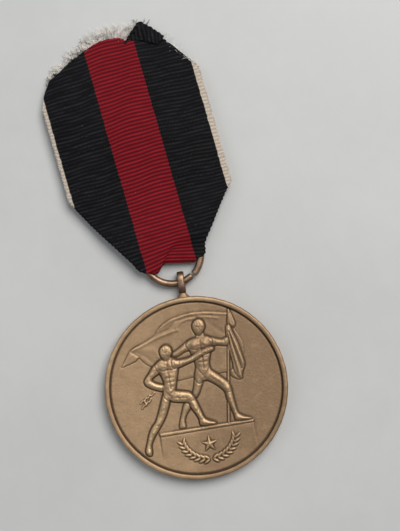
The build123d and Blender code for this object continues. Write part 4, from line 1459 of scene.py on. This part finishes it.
class MEDAL_OT_fray(bpy.types.Operator):
    """Frays the cut ends: a pale fringe on the back leg, dark ends on the front leg and stray threads"""

    bl_idname = "medal.fray"
    bl_label = "Frayed ends"

    def execute(self, context):
        settings = context.scene.medal_fray_settings
        front, back = ribbon_legs(context.scene.medal_ribbon_settings)
        rng = np.random.default_rng(settings.seed)
        count, long, thin = settings.count, settings.length, settings.thickness
        pieces = {
            "fringe_pale": (settings.pale, "ribbon_fray", thin * 1.1, 0.55),
            "fringe_rose": (settings.rose, "ribbon_fray", thin, 0.5),
            "frayed_dark": ((0.012, 0.011, 0.012), "ribbon_cloth", thin * 1.1, 0.7),
        }
        clumps = {name: [] for name in pieces}
        for name, *clump, share in (
            # leg, threads, places across, distances past the cut, shares of the length, spread and length
            ("fringe_pale", back, count, (-12.6, 5.2), (-0.9, 0.1), (0.45, 1.0), 0.42, 1),
            ("fringe_pale", front, 90, (8.8, 14.2), (-0.3, 0.1), (0.2, 0.9), 0.9, 0.5),
            ("fringe_rose", back, count // 7, (-5.2, 4.2), (-0.9, 0.1), (0.3, 0.9), 0.5, 0.6),
            ("frayed_dark", front, 150, (-13.8, -4.5), (-0.3, 0.02), (0.1, 0.4), 0.7, 0.45),
            ("frayed_dark", front, 60, (-12.6, -8.4), (-0.3, 0.0), (0.25, 0.9), 1.1, 0.55),
            ("frayed_dark", front, 40, (5.2, 7.6), (0.0, 0.5), (0.3, 0.8), 1.0, 0.45),
        ):
            clumps[name].append(self.roots(rng, *clump, long * share))
        for name, (tone, slot, thick, curl) in pieces.items():
            places, headings, lengths = (np.concatenate(parts) for parts in zip(*clumps[name]))
            inputs = {"Thickness": thick * MM, "Curl": curl * MM, "Table": 0.05 * MM, "Seed": settings.seed}
            inputs["Material"] = loose_thread(name, tuple(0.82 * channel for channel in tone), tone)
            measures = {"heading": headings, "reach": lengths * MM}
            piece = repeated(name, thread_tree(), places, measures, inputs)
            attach(piece, "ribbon_fall")
            if name == "fringe_pale":
                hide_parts("ribbon_frayed_end")
        return {"FINISHED"}

    def roots(self, rng, leg, count, places, back_off, lengths, spread, long):
        """Where a clump's threads start, which way they point, and how long they are."""
        w = rng.uniform(*places, count)
        line = leg.middle(leg.cut(w) + rng.uniform(*back_off, count), w)
        side, along = ribbon_axes()
        lean = rng.normal(0, spread, count)
        heading = np.outer(np.sin(lean), [*side, 0]) + np.outer(np.cos(lean), [*along, 0])
        heading[:, 2] = rng.uniform(-0.05, 0.3, count)
        fuller = np.clip(0.45 + 0.55 * (w + 13.0) / 11.0, 0.45, 1.0)
        return line, heading, long * fuller * rng.uniform(*lengths, count)


# ------------------------------------------------------------ stage
class MEDAL_OT_stage(bpy.types.Operator):
    """Sets the table, the soft light and the camera"""

    bl_idname = "medal.stage"
    bl_label = "Stage"

    def execute(self, context):
        settings = context.scene.medal_stage_settings
        size = 1200.0
        corners = [(-size, -size, 0), (size, -size, 0), (size, size, 0), (-size, size, 0)]
        table = mesh_piece("table", corners, [[0, 1, 2, 3]], pale_table(settings), None, smooth=False)
        self.light("window", (0.42, 0.52, 1.0), 0.85, 15.5, (1.0, 0.985, 0.96))
        self.light("fill", (-0.40, 0.25, 0.50), 0.5, 0.7, (0.93, 0.97, 1.0))
        world = context.scene.world or bpy.data.worlds.new("room")
        context.scene.world = world
        world.use_nodes = True
        room = world.node_tree.nodes["Background"]
        room.inputs["Color"].default_value = (0.86, 0.89, 0.92, 1)
        room.inputs["Strength"].default_value = 0.34
        camera = in_scene("camera", bpy.data.cameras.new("camera"))
        sensor = 36.0
        camera.data.lens = settings.lens
        camera.data.sensor_fit = "VERTICAL"
        camera.data.sensor_height = sensor
        camera.data.clip_start = 0.01
        distance = settings.lens / sensor * settings.reach + 2.4
        camera.location = Vector((*settings.centre, distance)) * MM
        camera.rotation_euler = (0, 0, -math.radians(settings.roll))
        context.scene.camera = camera
        context.scene.view_settings.view_transform = "Standard"
        return {"FINISHED"}

    def light(self, name, place, size, power, tint):
        """A round soft light, aimed at the middle of the medal."""
        lamp = in_scene(name, bpy.data.lights.new(name, "AREA"))
        lamp.data.shape = "DISK"
        lamp.data.size = size
        lamp.data.energy = power
        lamp.data.color = tint
        lamp.location = place
        aim = Vector((0.0, 0.025, 0.0)) - Vector(place)
        lamp.rotation_euler = aim.to_track_quat("-Z", "Y").to_euler()


class MEDAL_PT_panel(bpy.types.Panel):
    """Lists the medal's settings and the operators that build it"""

    bl_label = "Service Medal"
    bl_idname = "MEDAL_PT_panel"
    bl_space_type = "VIEW_3D"
    bl_region_type = "UI"
    bl_category = "Medal"

    def draw(self, context):
        for operator in OPERATORS:
            self.layout.operator(operator.bl_idname)
        for name, group in SETTING_GROUPS:
            box = self.layout.box()
            for prop in group.__annotations__:
                box.prop(getattr(context.scene, name), prop)


OPERATORS = (
    MEDAL_OT_disc,
    MEDAL_OT_eyelet,
    MEDAL_OT_ring,
    MEDAL_OT_ribbon,
    MEDAL_OT_edge_loops,
    MEDAL_OT_fray,
    MEDAL_OT_stage,
)


def register():
    for name, group in SETTING_GROUPS:
        bpy.utils.register_class(group)
        setattr(bpy.types.Scene, name, PointerProperty(type=group))
    for operator in OPERATORS:
        bpy.utils.register_class(operator)
    bpy.utils.register_class(MEDAL_PT_panel)


def unregister():
    bpy.utils.unregister_class(MEDAL_PT_panel)
    for operator in reversed(OPERATORS):
        bpy.utils.unregister_class(operator)
    for name, group in reversed(SETTING_GROUPS):
        delattr(bpy.types.Scene, name)
        bpy.utils.unregister_class(group)


def main():
    register()
    bpy.ops.medal.disc()
    bpy.ops.medal.eyelet()
    bpy.ops.medal.ring()
    bpy.ops.medal.ribbon()
    bpy.ops.medal.edge_loops()
    bpy.ops.medal.fray()
    bpy.ops.medal.stage()


if __name__ == "__main__":
    main()
